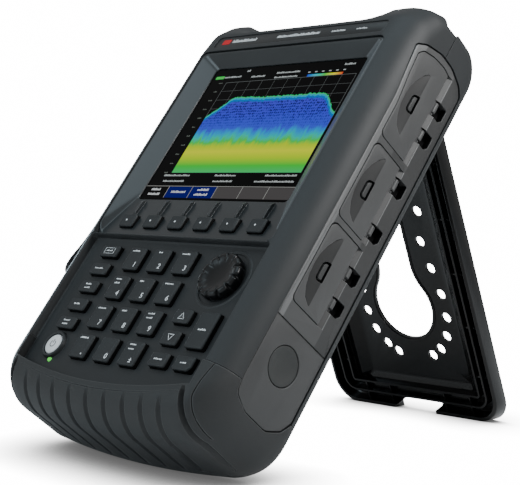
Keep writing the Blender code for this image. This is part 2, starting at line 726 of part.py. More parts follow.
def make_connectors():
    shelf = CAVITY_Z[1] + 3.5 + GAP
    port = [(9.5, 0), (9.5, 3.0), (7.9, 3.0), (7.9, 15.0), (6.6, 16.0), (4.2, 16.0), (4.2, 6.0), (0, 6.0)]
    for name, x in (("rf_port_1", -30.0), ("rf_port_2", 30.0)):
        profile = [(0, 0)] + port
        finish(turned(name, profile, 24, (x, 37.0, shelf), (0, 0, 1)), "steel")
    small = [(0, 0), (4.0, 0), (4.0, 2.0), (3.1, 2.0), (3.1, 9.0), (1.6, 9.0), (1.6, 4.0), (0, 4.0)]
    finish(turned("gps_connector", small, 16, (0, 37.0, shelf), (0, 0, 1)), "steel")


def make_insides():
    board = box_tool((-80.0, 80.0), (22.0, 23.6), (86.0, 270.0))
    board.name = "main_board"
    finish(board, "board")
    module = box_tool((-60.0, 60.0), (24.2, 44.0), (150.0, 262.0))
    module.name = "rf_module"
    finish(module, "steel")


# ---------------------------------------------------------------- stand

def keyhole_outline():
    """Round window with a narrowing neck, in (x, s); s runs down from the hinge."""
    centre, radius = KEYHOLE
    reach = radius + KEYHOLE_FILLET
    offset = KEYHOLE_NECK + KEYHOLE_FILLET
    rise = math.sqrt(reach ** 2 - offset ** 2)
    turn = math.degrees(math.atan2(rise, offset))
    right = arc((0, centre), radius, -turn, 90, 10)
    fillet = arc((offset, centre - rise), KEYHOLE_FILLET, 180, 180 - turn, 4)
    half = [(KEYHOLE_NECK, KEYHOLE_TOP + KEYHOLE_NECK)] + fillet[:-1] + right
    left = [(-x, s) for x, s in reversed(half[:-1])]
    return half + left + arc((0, KEYHOLE_TOP + KEYHOLE_NECK), KEYHOLE_NECK, 210, 330, 4)


def stand_length():
    """Distance from hinge to foot that puts the foot on the casing's floor."""
    contact_y = DEPTH - REAR_FOOT_RADIUS * (1 - math.sin(TILT))
    contact_z = REAR_FOOT_RADIUS * (1 - math.cos(TILT))
    floor = contact_z * math.cos(TILT) - contact_y * math.sin(TILT)
    hinge = STAND_AXIS[1] * math.cos(TILT) - STAND_AXIS[0] * math.sin(TILT)
    lean = STAND_OPEN - TILT
    return (hinge - floor + STAND_DEPTH[0] * math.sin(lean)) / math.cos(lean)


def stand_outline(length, inset=0.0):
    """Tray outline in (x, s), wider at the foot, with round foot corners."""
    radius = STAND_FOOT_RADIUS - inset
    foot = length - inset
    top, low = STAND_HALF_TOP - inset, STAND_HALF_FOOT - inset
    right = arc((low - radius, foot - radius), radius, 0, 90, 4)
    left = [(-x, s) for x, s in reversed(right)]
    return [(top, STAND_BARREL + 2.0 + inset)] + right + left + [(-top, STAND_BARREL + 2.0 + inset)]


def drawn_down(outline):
    """Flip s, measured down from the hinge, into a height below it."""
    return [(x, -s) for x, s in outline]


def bulge(levels):
    """The tray's middle, sunk deeper than its edge, from (half width, top, foot, depth) levels."""
    outlines = []
    for half, top, foot, depth in levels:
        outlines.append((drawn_down(rectangle(-half, half, top, foot)), depth))
    return tapered("tool", outlines, "xz")


def make_stand():
    length = stand_length()
    front, back = STAND_DEPTH
    lean = STAND_OPEN - TILT
    drop = (back - front) * math.tan(lean)
    longer = length + drop + 0.8
    stand = prism("bail_stand", [drawn_down(stand_outline(longer))], "xz", front, back)
    # The foot is sliced level with the floor that the open stand rests on.
    spare = 9 * math.tan(lean)
    foot_cut = [(front - 9, -length + spare), (back + 9, -length - drop - spare),
                (back + 9, -length - 50), (front - 9, -length - 50)]
    hollow = drawn_down(stand_outline(length, STAND_RIM))
    combine(stand, bulge(BULGE_OUTSIDE), "UNION")
    combine(stand, prism("tool", [hollow], "xz", front - 5, STAND_FLOOR))
    combine(stand, bulge(BULGE_INSIDE))
    combine(stand, prism("tool", [foot_cut], "yz", -110, 110))
    holes = [drawn_down(keyhole_outline())]
    for angle in RING_ANGLES:
        x = RING_RADIUS * math.cos(math.radians(angle))
        s = RING_CENTRE + RING_RADIUS * math.sin(math.radians(angle))
        holes += [circle((x, -s), STAND_HOLE_RADIUS, 10), circle((-x, -s), STAND_HOLE_RADIUS, 10)]
    for x, s in NECK_HOLES:
        holes += [circle((x, -s), STAND_HOLE_RADIUS, 10), circle((-x, -s), STAND_HOLE_RADIUS, 10)]
    combine(stand, prism("tool", holes, "xz", -20, 20))
    notch = [(-20.0, -length - 30), (20.0, -length - 30), (18.5, 4.6 - length), (-18.5, 4.6 - length)]
    combine(stand, prism("tool", [notch], "xz", -20, 20))
    # Hinge barrel across the top, joined to the tray, and bored for the pins.
    barrel = prism("tool", [circle((0, 0), STAND_BARREL, 14)], "yz", -STAND_HALF_TOP, STAND_HALF_TOP)
    combine(stand, barrel, "UNION")
    bridge = [(0.5, -STAND_BARREL - 5.0), (0.5, -1.0), (back - 3.2, -1.0), (back, -STAND_BARREL - 1.0),
              (back - 0.8, -STAND_BARREL - 5.0)]
    combine(stand, prism("tool", [bridge], "yz", 0.5 - STAND_HALF_TOP, STAND_HALF_TOP - 0.5), "UNION")
    for side in (-1, 1):
        inner, outer = side * (STAND_HALF_TOP - 13.0), side * (STAND_HALF_TOP + 5.0)
        bore_circle = circle((0, 0), STAND_PIN_RADIUS + GAP, 12)
        bore = prism("tool", [bore_circle], "yz", min(inner, outer), max(inner, outer))
        combine(stand, bore)
    finish(stand, "stand")

    reach = STAND_BAY_X + 7.0
    for name, side in (("stand_pin_left", -1), ("stand_pin_right", 1)):
        ends = sorted((side * (STAND_HALF_TOP - 12.0), side * reach))
        pin = prism(name, [circle(STAND_AXIS, STAND_PIN_RADIUS, 12)], "yz", *ends)
        finish(pin, "steel")
    return stand


# ---------------------------------------------------------------- assembly

def set_origin(item, origin):
    """Move an object's origin onto a point of its parent frame."""
    item.data.transform(Matrix.Translation(-Vector(origin) * MM))
    item.location = Vector(origin) * MM


def joint_origins():
    for entry in key_table():
        set_origin(bpy.data.objects[entry[0]], (entry[1], KEY_TOP_Y, entry[2]))
    set_origin(bpy.data.objects["power_button"], (POWER_CENTRE[0], 4.2, POWER_CENTRE[1]))
    set_origin(bpy.data.objects["knob"], (KNOB_CENTRE[0], 0.6, KNOB_CENTRE[1]))
    for i in range(3):
        set_origin(bpy.data.objects[f"access_door_{i + 1}"], (*HINGE_AT, DOOR_Z[2 - i][0]))
    set_origin(bpy.data.objects["battery_release_button"], (PANEL_X[1], *RELEASE_CENTRE))
    set_origin(bpy.data.objects["battery_cover"], (PANEL_X[0], *RELEASE_CENTRE))


def smooth_round_pieces():
    for name in ("knob", "power_button", "status_lens", "rf_port_1", "rf_port_2", "gps_connector",
                 "battery_release_button", "stand_pin_left", "stand_pin_right", "door_hinge_rod"):
        mesh = bpy.data.objects[name].data
        mesh.shade_smooth()
        mesh.set_sharp_from_angle(angle=math.radians(35))


def assemble(stand):
    """Lean everything back and stand it on the floor below its own middle."""
    frame = bpy.data.objects.new("tilt_frame", None)
    bpy.context.collection.objects.link(frame)
    hinge = bpy.data.objects.new("stand_hinge", None)
    bpy.context.collection.objects.link(hinge)
    hinge.parent = frame
    hinge.location = Vector((0, *STAND_AXIS)) * MM
    hinge.rotation_euler = (STAND_OPEN, 0, 0)
    for item in list(bpy.data.objects):
        if item.type == "MESH":
            item.parent = hinge if item == stand else frame
    frame.rotation_euler = (-TILT, 0, 0)
    bpy.context.view_layer.update()
    corners = []
    for item in bpy.data.objects:
        if item.type == "MESH":
            corners += [item.matrix_world @ vertex.co for vertex in item.data.vertices]
    low = Vector([min(corner[axis] for corner in corners) for axis in range(3)])
    high = Vector([max(corner[axis] for corner in corners) for axis in range(3)])
    frame.location = (-(low.x + high.x) / 2, -(low.y + high.y) / 2, -low.z)


def main():
    clear_scene()
    block = casing_block()
    make_front_shell(block)
    make_rear_shell(block)
    make_bumper(block)
    bpy.data.objects.remove(block, do_unlink=True)
    make_bezel()
    make_display()
    make_controls()
    make_right_panel()
    make_left_panel()
    make_doors()
    make_battery_bay()
    make_strap()
    make_connectors()
    make_insides()
    stand = make_stand()
    joint_origins()
    smooth_round_pieces()
    assemble(stand)


main()
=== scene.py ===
"""Looks of the handheld network analyser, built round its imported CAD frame.

Every piece is drawn in the casing's own upright frame, in millimetres: x to
the right, y from the front towards the back and z from foot to top.  CASE
leans that frame back onto the floor, and LEG is the open stand's own frame.
"""

import math
import random

import bmesh
import bpy
from mathutils import Matrix, Vector


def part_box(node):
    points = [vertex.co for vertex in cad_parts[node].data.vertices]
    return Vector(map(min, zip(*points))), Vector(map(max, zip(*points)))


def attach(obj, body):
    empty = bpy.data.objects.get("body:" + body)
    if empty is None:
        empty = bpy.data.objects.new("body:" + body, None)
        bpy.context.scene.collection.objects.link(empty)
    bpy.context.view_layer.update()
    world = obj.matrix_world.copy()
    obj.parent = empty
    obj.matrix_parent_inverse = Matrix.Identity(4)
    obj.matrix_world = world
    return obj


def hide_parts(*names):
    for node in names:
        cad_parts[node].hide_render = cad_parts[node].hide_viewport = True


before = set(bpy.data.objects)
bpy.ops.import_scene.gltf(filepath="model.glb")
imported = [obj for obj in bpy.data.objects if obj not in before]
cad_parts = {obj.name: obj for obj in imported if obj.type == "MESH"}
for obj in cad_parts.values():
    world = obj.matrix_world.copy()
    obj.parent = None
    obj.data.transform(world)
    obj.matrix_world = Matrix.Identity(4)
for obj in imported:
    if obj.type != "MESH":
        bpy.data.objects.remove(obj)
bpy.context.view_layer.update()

MM = 0.001
TILT = math.radians(38.6)
STAND_OPEN = math.radians(59.6)
BOARD_MIDDLE = Vector((0.0, 22.8, 178.0))

board_low, board_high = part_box("main_board")
LEAN = Matrix.Rotation(-TILT, 4, "X") @ Matrix.Scale(MM, 4)
CASE = Matrix.Translation((board_low + board_high) / 2 - LEAN @ BOARD_MIDDLE) @ LEAN
LEG = CASE @ Matrix.Translation((0, 65.5, 270.0)) @ Matrix.Rotation(STAND_OPEN, 4, "X")

HALF_WIDTH = 94.0
DEPTH = 71.0
TOP = 302.8
GAP = 0.3
JOINT = 0.6
SEAM_Y = 37.0
SEAM_Z = 43.0
BEYOND = 110.0
ESC_CUT = 2.6
BLACK, WHITE = (0.0, 0.0, 0.0, 1.0), (1.0, 1.0, 1.0, 1.0)


# ---------------------------------------------------------------- drawing

def arc(centre, radius, start, end, steps):
    points = []
    for i in range(steps + 1):
        angle = math.radians(start + (end - start) * i / steps)
        points.append((centre[0] + radius * math.cos(angle), centre[1] + radius * math.sin(angle)))
    return points


def circle(centre, radius, steps=40):
    return arc(centre, radius, 0, 360, steps)[:-1]


def rounded(corners, turn=9.0, steps=None):
    """A closed outline whose corners, given as (a, b, radius), are filleted.

    Every fillet has the given steps, or else one for every so many degrees.
    """
    outline = []
    for i, (a, b, radius) in enumerate(corners):
        if radius <= 0:
            outline.append((a, b))
            continue
        here = Vector((a, b))
        before = Vector(corners[i - 1][:2]) - here
        after = Vector(corners[(i + 1) % len(corners)][:2]) - here
        half = before.angle(after) / 2
        reach = min(radius / math.tan(half), before.length * 0.499, after.length * 0.499)
        bisector = (before.normalized() + after.normalized()).normalized()
        centre = here + bisector * (reach / math.cos(half))
        first = here + before.normalized() * reach - centre
        last = here + after.normalized() * reach - centre
        sweep = math.atan2(first.x * last.y - first.y * last.x, first.dot(last))
        pieces = steps or max(1, round(abs(math.degrees(sweep)) / turn))
        for k in range(pieces + 1):
            cos, sin = math.cos(sweep * k / pieces), math.sin(sweep * k / pieces)
            spoke = Vector((first.x * cos - first.y * sin, first.x * sin + first.y * cos))
            outline.append(tuple(centre + spoke))
    return outline


def box_outline(x0, x1, z0, z1, radius=0.0, turn=15.0):
    return rounded([(x0, z0, radius), (x1, z0, radius), (x1, z1, radius), (x0, z1, radius)], turn)


def subdivided(outline, longest):
    """The same outline with no segment longer than given."""
    dense = []
    for i, point in enumerate(outline):
        here, following = Vector(point), Vector(outline[(i + 1) % len(outline)])
        pieces = max(1, math.ceil((following - here).length / longest))
        for k in range(pieces):
            dense.append(tuple(here.lerp(following, k / pieces)))
    return dense


def placed(a, b, level, plane):
    if plane == "xz":
        return (a, level, b)
    if plane == "yz":
        return (level, a, b)
    return (a, b, level)


def add_rings(bm, rings, closed=False):
    """Skins a row of equally long rings, and caps its ends unless it closes on itself."""
    loops = [[bm.verts.new(point) for point in ring] for ring in rings]
    pairs = list(zip(loops, loops[1:]))
    if closed:
        pairs.append((loops[-1], loops[0]))
    for low, high in pairs:
        for i in range(len(low)):
            j = (i + 1) % len(low)
            bm.faces.new((low[i], low[j], high[j], high[i]))
    if not closed:
        bm.faces.new(list(reversed(loops[0])))
        bm.faces.new(loops[-1])


def shown(name, data):
    """A new object in the scene that carries the given data."""
    item = bpy.data.objects.new(name, data)
    bpy.context.scene.collection.objects.link(item)
    return item


def drawn(bm, name="tool"):
    mesh = bpy.data.meshes.new(name)
    bm.to_mesh(mesh)
    bm.free()
    return shown(name, mesh)


def solid(bm, name="tool"):
    bmesh.ops.recalc_face_normals(bm, faces=bm.faces)
    return drawn(bm, name)


def skinned(rings, closed=False):
    bm = bmesh.new()
    add_rings(bm, rings, closed)
    return solid(bm)


def loft(levels, plane, closed=False):
    """A stack of equally long outlines, each with its level, skinned and capped."""
    return skinned([[placed(a, b, level, plane) for a, b in outline] for outline, level in levels], closed)


def prism(outlines, plane, low, high):
    bm = bmesh.new()
    for outline in outlines:
        add_rings(bm, [[placed(a, b, level, plane) for a, b in outline] for level in (low, high)])
    return solid(bm)


def block(x, y, z):
    return prism([box_outline(*x, *z)], "xz", *y)


def turned(profile, origin, axis, steps=48, wave=None):
    """A body of revolution from (radius, height) points, pole to pole or as a ring."""
    bm = bmesh.new()
    turn = Vector(axis).to_track_quat("Z", "X").to_matrix()
    loops = []
    for k, (radius, height) in enumerate(profile):
        loop = []
        for i in range(steps if radius > 0 else 1):
            angle = 2 * math.pi * i / steps
            reach = radius * (wave(k, angle) if wave else 1.0)
            local = Vector((reach * math.cos(angle), reach * math.sin(angle), height))
            loop.append(bm.verts.new(Vector(origin) + turn @ local))
        loops.append(loop)
    pairs = list(zip(loops, loops[1:]))
    if len(loops[0]) > 1:
        pairs.append((loops[-1], loops[0]))
    for low, high in pairs:
        for i in range(steps):
            j = (i + 1) % steps
            if len(low) == 1:
                bm.faces.new((low[0], high[j], high[i]))
            elif len(high) == 1:
                bm.faces.new((low[i], low[j], high[0]))
            else:
                bm.faces.new((low[i], low[j], high[j], high[i]))
    return solid(bm)


def evaluated_mesh(item):
    """An object's mesh as it shows: modifiers applied, text outlined."""
    graph = bpy.context.evaluated_depsgraph_get()
    graph.update()
    return bpy.data.meshes.new_from_object(item.evaluated_get(graph))


def carve(target, *tools, operation="DIFFERENCE"):
    for tool in tools:
        modifier = target.modifiers.new("cut", "BOOLEAN")
        modifier.operation = operation
        modifier.solver = "MANIFOLD"
        modifier.object = tool
    mesh = evaluated_mesh(target)
    target.modifiers.clear()
    target.data = mesh
    for tool in tools:
        bpy.data.objects.remove(tool, do_unlink=True)
    return target


def copied(item):
    return shown(item.name, item.data.copy())


def joined(items):
    """Several drawn objects as one mesh, keeping each one's material."""
    bm = bmesh.new()
    materials = []
    for item in items:
        start, offset = len(bm.faces), len(materials)
        materials += list(item.data.materials) or [None]
        bm.from_mesh(item.data)
        bm.faces.ensure_lookup_table()
        for face in bm.faces[start:]:
            face.material_index += offset
        bpy.data.objects.remove(item, do_unlink=True)
    whole = drawn(bm)
    for material in materials:
        whole.data.materials.append(material)
    return whole


def painted(item, looks, choose):
    """Gives every face the look whose number choose(centre, normal) returns."""
    item.data.materials.clear()
    for look in looks:
        item.data.materials.append(look)
    for face in item.data.polygons:
        face.material_index = int(choose(face.center, face.normal))
    return item


def fit(item, name, material, body="casing", replaces=(), matrix=CASE, sharp=32.0, slot=None):
    """Name a drawn piece, put it in the row frame, and hang it on its body."""
    item.name = name
    item.data.name = name
    if material is not None:
        item.data.materials.clear()
        item.data.materials.append(material)
    item.data.transform(matrix)
    item.data.shade_smooth()
    item.data.set_sharp_from_angle(angle=math.radians(sharp))
    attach(item, body)
    for node in replaces:
        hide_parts(node)
    if replaces or slot:
        slot or replaces[0]
    return item


# ---------------------------------------------------------------- materials

def feed(tree, node, sockets):
    """Fills a node's inputs, each with a value or with another node's output."""
    for key, value in sockets.items():
        if isinstance(value, bpy.types.Node):
            value = value.outputs[0]
        if isinstance(value, bpy.types.NodeSocket):
            tree.links.new(value, node.inputs[key])
        else:
            node.inputs[key].default_value = value
    return node


def add(tree, kind, sockets=None, **fields):
    """A new shader node of a kind, with its fields and inputs filled in."""
    node = tree.nodes.new("ShaderNode" + kind)
    for field, value in fields.items():
        setattr(node, field, value)
    return feed(tree, node, sockets or {})


def ramp(tree, source, stops):
    """A colour ramp over a source, its stops given as (position, colour)."""
    node = add(tree, "ValToRGB", {"Fac": source})
    elements = node.color_ramp.elements
    while len(elements) < len(stops):
        elements.new(0.5)
    for element, (position, colour) in zip(elements, stops):
        element.position = position
        element.color = (*colour[:3], 1.0)
    return node


def principled(name, sockets):
    material = bpy.data.materials.new(name)
    material.use_nodes = True
    tree = material.node_tree
    return material, tree, feed(tree, tree.nodes["Principled BSDF"], sockets)


def shade(colour, factor):
    return tuple(min(1.0, c * factor) for c in colour) + (1.0,)


def plastic(name, colour, rough=0.5, grain=0.35, grain_mm=0.45, soften=0.5, wear=0.25, mottle=0.10,
            coat=0.0, specular=0.5):
    """Moulded plastic or rubber: pebbled grain, uneven tone and rubbed edges."""
    material, tree, shader = principled(name, {"Specular IOR Level": specular, "Coat Weight": coat,
                                               "Coat Roughness": 0.12})
    spot = add(tree, "TexCoord").outputs["Object"]
    cloud = add(tree, "TexNoise", {"Scale": 26.0, "Detail": 4.0, "Vector": spot})
    tone = ramp(tree, cloud, ((0.3, shade(colour, 1.0 - mottle)), (0.7, shade(colour, 1.0 + mottle))))
    pebble = add(tree, "TexVoronoi", {"Scale": 1.0 / (grain_mm * MM), "Vector": spot}, feature="SMOOTH_F1")
    fine = add(tree, "TexNoise", {"Scale": 2.6 / (grain_mm * MM), "Detail": 2.0, "Vector": spot})
    relief = add(tree, "Math", {0: pebble, 1: fine}, operation="ADD")
    round_edge = add(tree, "Bevel", {"Radius": soften * MM}, samples=6)
    bump = add(tree, "Bump", {"Strength": grain, "Distance": 0.06 * MM, "Height": relief,
                              "Normal": round_edge})
    flat = add(tree, "NewGeometry").outputs["Normal"]
    agree = add(tree, "VectorMath", {0: round_edge, 1: flat}, operation="DOT_PRODUCT").outputs["Value"]
    edge = add(tree, "MapRange", {"From Min": 0.995, "From Max": 0.90, "To Max": wear, "Value": agree})
    rubbed = shade([c * 0.6 + 0.05 for c in colour], 2.2)
    worn = add(tree, "Mix", {0: edge, 6: tone, 7: rubbed}, data_type="RGBA").outputs[2]
    gloss = add(tree, "MapRange", {"To Min": max(0.02, rough - 0.07), "To Max": min(1.0, rough + 0.07),
                                   "Value": cloud})
    feed(tree, shader, {"Base Color": worn, "Roughness": gloss, "Normal": bump})
    return material


def metal(name, colour, rough=0.25):
    """Brushed metal, with fine streaks in its tone and gloss."""
    material, tree, shader = principled(name, {"Metallic": 1.0})
    spot = add(tree, "TexCoord").outputs["Object"]
    stretch = add(tree, "Mapping", {"Scale": (1, 1, 12), "Vector": spot})
    streak = add(tree, "TexNoise", {"Scale": 900.0, "Detail": 5.0, "Vector": stretch})
    tone = ramp(tree, streak, ((0.0, shade(colour, 0.82)), (1.0, shade(colour, 1.08))))
    gloss = add(tree, "MapRange", {"To Min": rough * 0.7, "To Max": rough * 1.5, "Value": streak})
    bump = add(tree, "Bump", {"Strength": 0.15, "Distance": 0.02 * MM, "Height": streak})
    feed(tree, shader, {"Base Color": tone, "Roughness": gloss, "Normal": bump})
    return material


def glowing(name, colour, strength):
    """An evenly lit colour, such as a screen element or a lamp."""
    return principled(name, {"Base Color": (*[c * 0.1 for c in colour], 1.0), "Specular IOR Level": 0.03,
                             "Emission Color": (*colour, 1.0), "Emission Strength": strength,
                             "Roughness": 0.25})[0]


SHELL = plastic("shell_plastic", (0.0094, 0.0110, 0.0120), rough=0.54, grain=0.42, specular=0.36)
PANEL = plastic("panel_plastic", (0.024, 0.024, 0.024), rough=0.50, grain=0.45, specular=0.35)
DOOR = plastic("door_plastic", (0.041, 0.041, 0.041), rough=0.48, grain=0.45, specular=0.38)
COVER = plastic("cover_plastic", (0.033, 0.033, 0.033), rough=0.50, grain=0.45, specular=0.36)
# darker copy of the door plastic: painted shade on the finger scoop's facet, which turns away from the light
SCOOP_PAINTED_SHADE = plastic("scoop_painted_shade", (0.013, 0.013, 0.013), rough=0.50, grain=0.40, specular=0.25)
# lighter plastic for the side panel's front border strip, and for the hinge lips, where it is a painted
# highlight on their edge
BORDER_AND_PAINTED_HIGHLIGHT = plastic("border_and_painted_highlight", (0.095, 0.095, 0.095), rough=0.42, grain=0.25, specular=0.45)
BOOT = plastic("boot_rubber", (0.0118, 0.0126, 0.0130), rough=0.56, grain=0.42, soften=0.9, specular=0.36)
BEZEL = plastic("bezel_plastic", (0.0120, 0.0150, 0.0165), rough=0.30, grain=0.16, specular=0.50)
# lighter copy of the bezel plastic: a painted reflection on the right flank, where it faces left
BEZEL_PAINTED_SHEEN = plastic("bezel_painted_sheen", (0.060, 0.069, 0.075), rough=0.38, grain=0.16, specular=0.50)
KEY_TOP = plastic("key_rubber", (0.0080, 0.0100, 0.0112), rough=0.50, grain=0.40, grain_mm=0.35, wear=0.35,
                  specular=0.36)
# near-black plastic as painted shade: the keys' side walls, the side panel's notches and pockets, and the
# doors' grip slots
PAINTED_SHADE_BLACK = plastic("key_wall", (0.0010, 0.0011, 0.0012), rough=0.6, wear=0.0, specular=0.1)
KNOB_BLACK = plastic("knob_black", (0.0020, 0.0024, 0.0028), rough=0.30, grain=0.15, wear=0.1, specular=0.26)
STRIP_BLACK = plastic("strip_black", (0.0045, 0.0058, 0.0066),
                      rough=0.40, grain=0.15, wear=0.0, specular=0.36)
SOFT_BLACK = plastic("soft_black", (0.0045, 0.0048, 0.0052), rough=0.42, grain=0.25, specular=0.3)
GLOSS_BLACK = plastic("gloss_black", (0.0012, 0.0015, 0.0017), rough=0.22, grain=0.12, coat=0.15, wear=0.1,
                      specular=0.26)
SILVER = plastic("silver_plastic", (0.60, 0.60, 0.60), rough=0.35, grain=0.08, wear=0.0, mottle=0.03)
INK = plastic("printed_ink", (0.72, 0.74, 0.75), rough=0.6, grain=0.1, wear=0.0, mottle=0.05)
STEEL = metal("steel", (0.60, 0.60, 0.61))
NICKEL = metal("nickel", (0.72, 0.71, 0.68), rough=0.2)
BRASS = metal("gilt", (0.80, 0.60, 0.28), rough=0.25)


# ---------------------------------------------------------------- casing

def side_profile():
    corners = [(0, 0, 24.5), (DEPTH, 0, 19), (DEPTH, TOP - 1.0, 21), (21.0, TOP, 8), (9.9, 298.0, 10),
               (2.0, 284.0, 16), (0, 266.0, 24)]
    return subdivided(rounded(corners, 7.5), 7.0)


def inset(across, radius):
    share = min(1.0, max(0.0, (across - (HALF_WIDTH - radius)) / radius))
    return radius * (1.0 - math.sqrt(max(0.0, 1.0 - share * share)))


def ease(value, low, high):
    share = min(1.0, max(0.0, (value - low) / (high - low)))
    return share * share * (3 - 2 * share)


def on_casing(x, y, z):
    """Where a point of the middle profile ends up at a distance x from the middle."""
    across = abs(x)
    front, back = inset(across, 20.0), inset(across, 10.0)
    high, low = inset(across, 7.0), inset(across, 24.0)
    sag = 4.0 * min(1.0, across / 70.0) ** 2
    valley = 0.78 * (1.0 - ease(across, 46.0, 66.0))
    new_y = front + y * (DEPTH - front - back) / DEPTH
    new_z = low + sag + z * (TOP - high - low - sag) / TOP
    return x, new_y, new_z - valley * max(0.0, new_z - 283.2)


def casing_block():
    """The whole casing as one pillow-edged loft across its width."""
    profile = side_profile()
    edge = [74.0 + 20.0 * math.sin(math.radians(a)) for a in range(0, 91, 6)]
    middle = [-74.0 + 148.0 * i / 30 for i in range(1, 30)]
    stations = [-x for x in reversed(edge)] + middle + edge
    whole = skinned([[on_casing(x, y, z) for y, z in profile] for x in stations])
    notch = rounded([(25.2, 308, 0), (24.9, 301.6, 1.5), (27.2, 296.3, 1.2), (36.2, 296.6, 1.2),
                     (39.2, 299.8, 2.0), (44.5, 302.0, 2.0), (46.0, 308, 0)])
    return carve(whole, prism([notch], "yz", -BEYOND, BEYOND))


PANEL_X = (86.6, 93.4)
PANEL_Y = (17.0, 62.3)
COVER_TOP_Z = 84.8


def panel_corners(grow=0.0):
    """Upper corners of the side panel, rear edge first, in (y, z)."""
    y0, y1 = PANEL_Y[0] - grow, PANEL_Y[1] + grow
    return [(y1, 270.2 + grow, 5.0), (57.5, 275.6 + grow, 10.0), (46.5, 279.7 + grow, 14.0),
            (34.0, 279.9 + grow, 16.0), (20.5 - grow / 2, 275.2 + grow, 10.0),
            (13.4 - grow, 269.8 + grow, 3.5),
            (14.6 - grow, 256.0, 12.0), (y0, 234.0, 40.0)]


def cover_corners(grow=0.0):
    """Lower corners of the battery cover, front edge first, in (y, z)."""
    y0, y1 = PANEL_Y[0] - grow, PANEL_Y[1] + grow
    return [(y0, 46.0, 4.0), (y0 + 1.6, 36.5 - grow, 5.0), (29.0, 31.2 - grow, 10.0),
            (48.0, 30.6 - grow, 10.0), (58.0, 36.4 - grow, 6.0), (y1, 44.0 - grow, 3.0)]


def side_pockets():
    outline = rounded(cover_corners(JOINT) + panel_corners(JOINT))
    right = prism([outline], "yz", PANEL_X[0] - GAP, HALF_WIDTH + 9)
    left = prism([outline], "yz", -HALF_WIDTH - 9, GAP - PANEL_X[0])
    return [right, left]


def arc_height(x):
    """Height of the bumper's arc under the keypad tongue."""
    return 19.6 + x * x / 714.0


def tongue_outline(grow):
    """The keypad tongue above the bumper's arc, in (x, z)."""
    half = 78.2 + grow
    places = [-half + 2 * half * i / 40 for i in range(41)]
    return [(half, 60.0), (-half, 60.0)] + [(x, arc_height(x) - grow) for x in places]


def boot_zone(grow):
    zone = block((-BEYOND, BEYOND), (-10, 90), (-10, SEAM_Z + grow))
    return carve(zone, prism([tongue_outline(-grow)], "xz", -20, 12.0 - grow))


def bay_room():
    """The sunk top end where the connectors stand."""
    return prism([box_outline(-50.0, 50.0, 278.5, TOP + 10)], "xz", 17.0, 57.5)


def cavity():
    """The hollow for the electronics, with the battery pack's mouth on the right."""
    room = loft([(box_outline(-81, 81, 30, 275), 12.4), (box_outline(-81, 81, 30, 275), 56.0)], "xz")
    return carve(room, block((60.0, 92.0), (25.7, 50.3), (36.7, 81.3)), operation="UNION")


KEYS = []
for index in range(6):
    KEYS.append((f"softkey_{index + 1}", 1.0 + 22.8 * (index - 2.5), 130.4, 12.6, 9.4))
for index in range(5):
    KEYS.append((f"function_key_{index + 1}", -54.8, 107.0 - 13.0 * index, 16.2, 8.0))
for index, label in enumerate(("1", "2", "3", "4", "5", "6", "7", "8", "9", "point", "0", "sign")):
    KEYS.append(("number_key_" + label, -28.3 + 22.6 * (index % 3), 102.8 - 20.5 * (index // 3), 14.4, 15.6))
KEYS += [("up_key", 40.8, 68.2, 13.6, 8.8), ("down_key", 40.8, 54.2, 13.6, 8.8),
         ("enter_key", 61.9, 61.2, 14.6, 22.8), ("back_key", 41.4, 40.3, 14.2, 8.8),
         ("esc_key", 61.9, 40.4, 14.6, 9.0)]
KEY_TOP_Y = 3.2
PLATE_Y = 6.5
KNOB = (52.6, 95.5)
POWER = (-56.4, 40.3)
LAMP = (-54.0, 31.0)
BEZEL_BOX = (-79.0, 79.0, 118.8, 266.5)
WINDOW = (-66.0, 66.0, 150.0, 257.5)


def key_hole(name, x, z, width, height):
    half_x, half_z = width / 2 + GAP, height / 2 + GAP
    return box_outline(x - half_x, x + half_x, z - half_z, z + half_z, 1.2)


STRIP = (-73.0, 75.0, 269.8, 280.2)


def sloped(item):
    """Leans a flat piece so that it lies on the casing's face above the screen."""
    for vert in item.data.vertices:
        vert.co.y += 0.5 + 0.106 * (vert.co.z - 270.0)
    return item


def make_front_shell(whole):
    shell = copied(whole)
    carve(shell, block((-BEYOND, BEYOND), (SEAM_Y - GAP, 90), (-10, TOP + 10)), boot_zone(GAP),
          *side_pockets())
    carve(shell, cavity())
    recess = []
    for half, top, level in ((79.8, 118.7, -2.0), (79.8, 118.7, 1.0), (79.2, 118.3, 1.6),
                             (78.3, 117.6, PLATE_Y - 0.5),
                             (77.6, 116.9, PLATE_Y)):
        recess.append((box_outline(-half, half, 8.0, top, 3.0), level))
    x0, x1, z0, z1 = BEZEL_BOX
    opening = box_outline(x0 - GAP, x1 + GAP, z0 - GAP, z1 + GAP, 4.0)
    strip = sloped(loft([(box_outline(*STRIP, 3.0), -4.0), (box_outline(*STRIP, 3.0), 0.75)], "xz"))
    holes = [key_hole(*entry) for entry in KEYS if not entry[0].startswith("softkey")]
    holes += [circle(POWER, 6.9), circle(LAMP, 1.9, 20), circle(KNOB, 3.3, 20)]
    carve(shell, loft(recess, "xz"), prism([opening], "xz", -5, 12), strip, prism(holes, "xz", -5, 12))
    well = turned([(0, -3.0), (17.6, -3.0), (17.2, 0.9), (0, 0.9)], (KNOB[0], PLATE_Y, KNOB[1]), (0, 1, 0),
                  64)
    carve(shell, well, bay_room())
    lip = turned([(17.9, 0.2), (17.9, -0.25), (18.4, -0.45), (19.1, -0.25), (19.3, 0.2)],
                 (KNOB[0], PLATE_Y, KNOB[1]), (0, 1, 0), 64)
    collar = turned([(7.0, 0.3), (7.0, -1.9), (7.5, -2.4), (8.4, -2.2), (9.0, -1.2), (9.3, 0.3)],
                    (POWER[0], PLATE_Y, POWER[1]), (0, 1, 0), 56)
    carve(shell, lip, collar, operation="UNION")
    return fit(shell, "front_shell_skin", SHELL, replaces=["front_shell"])


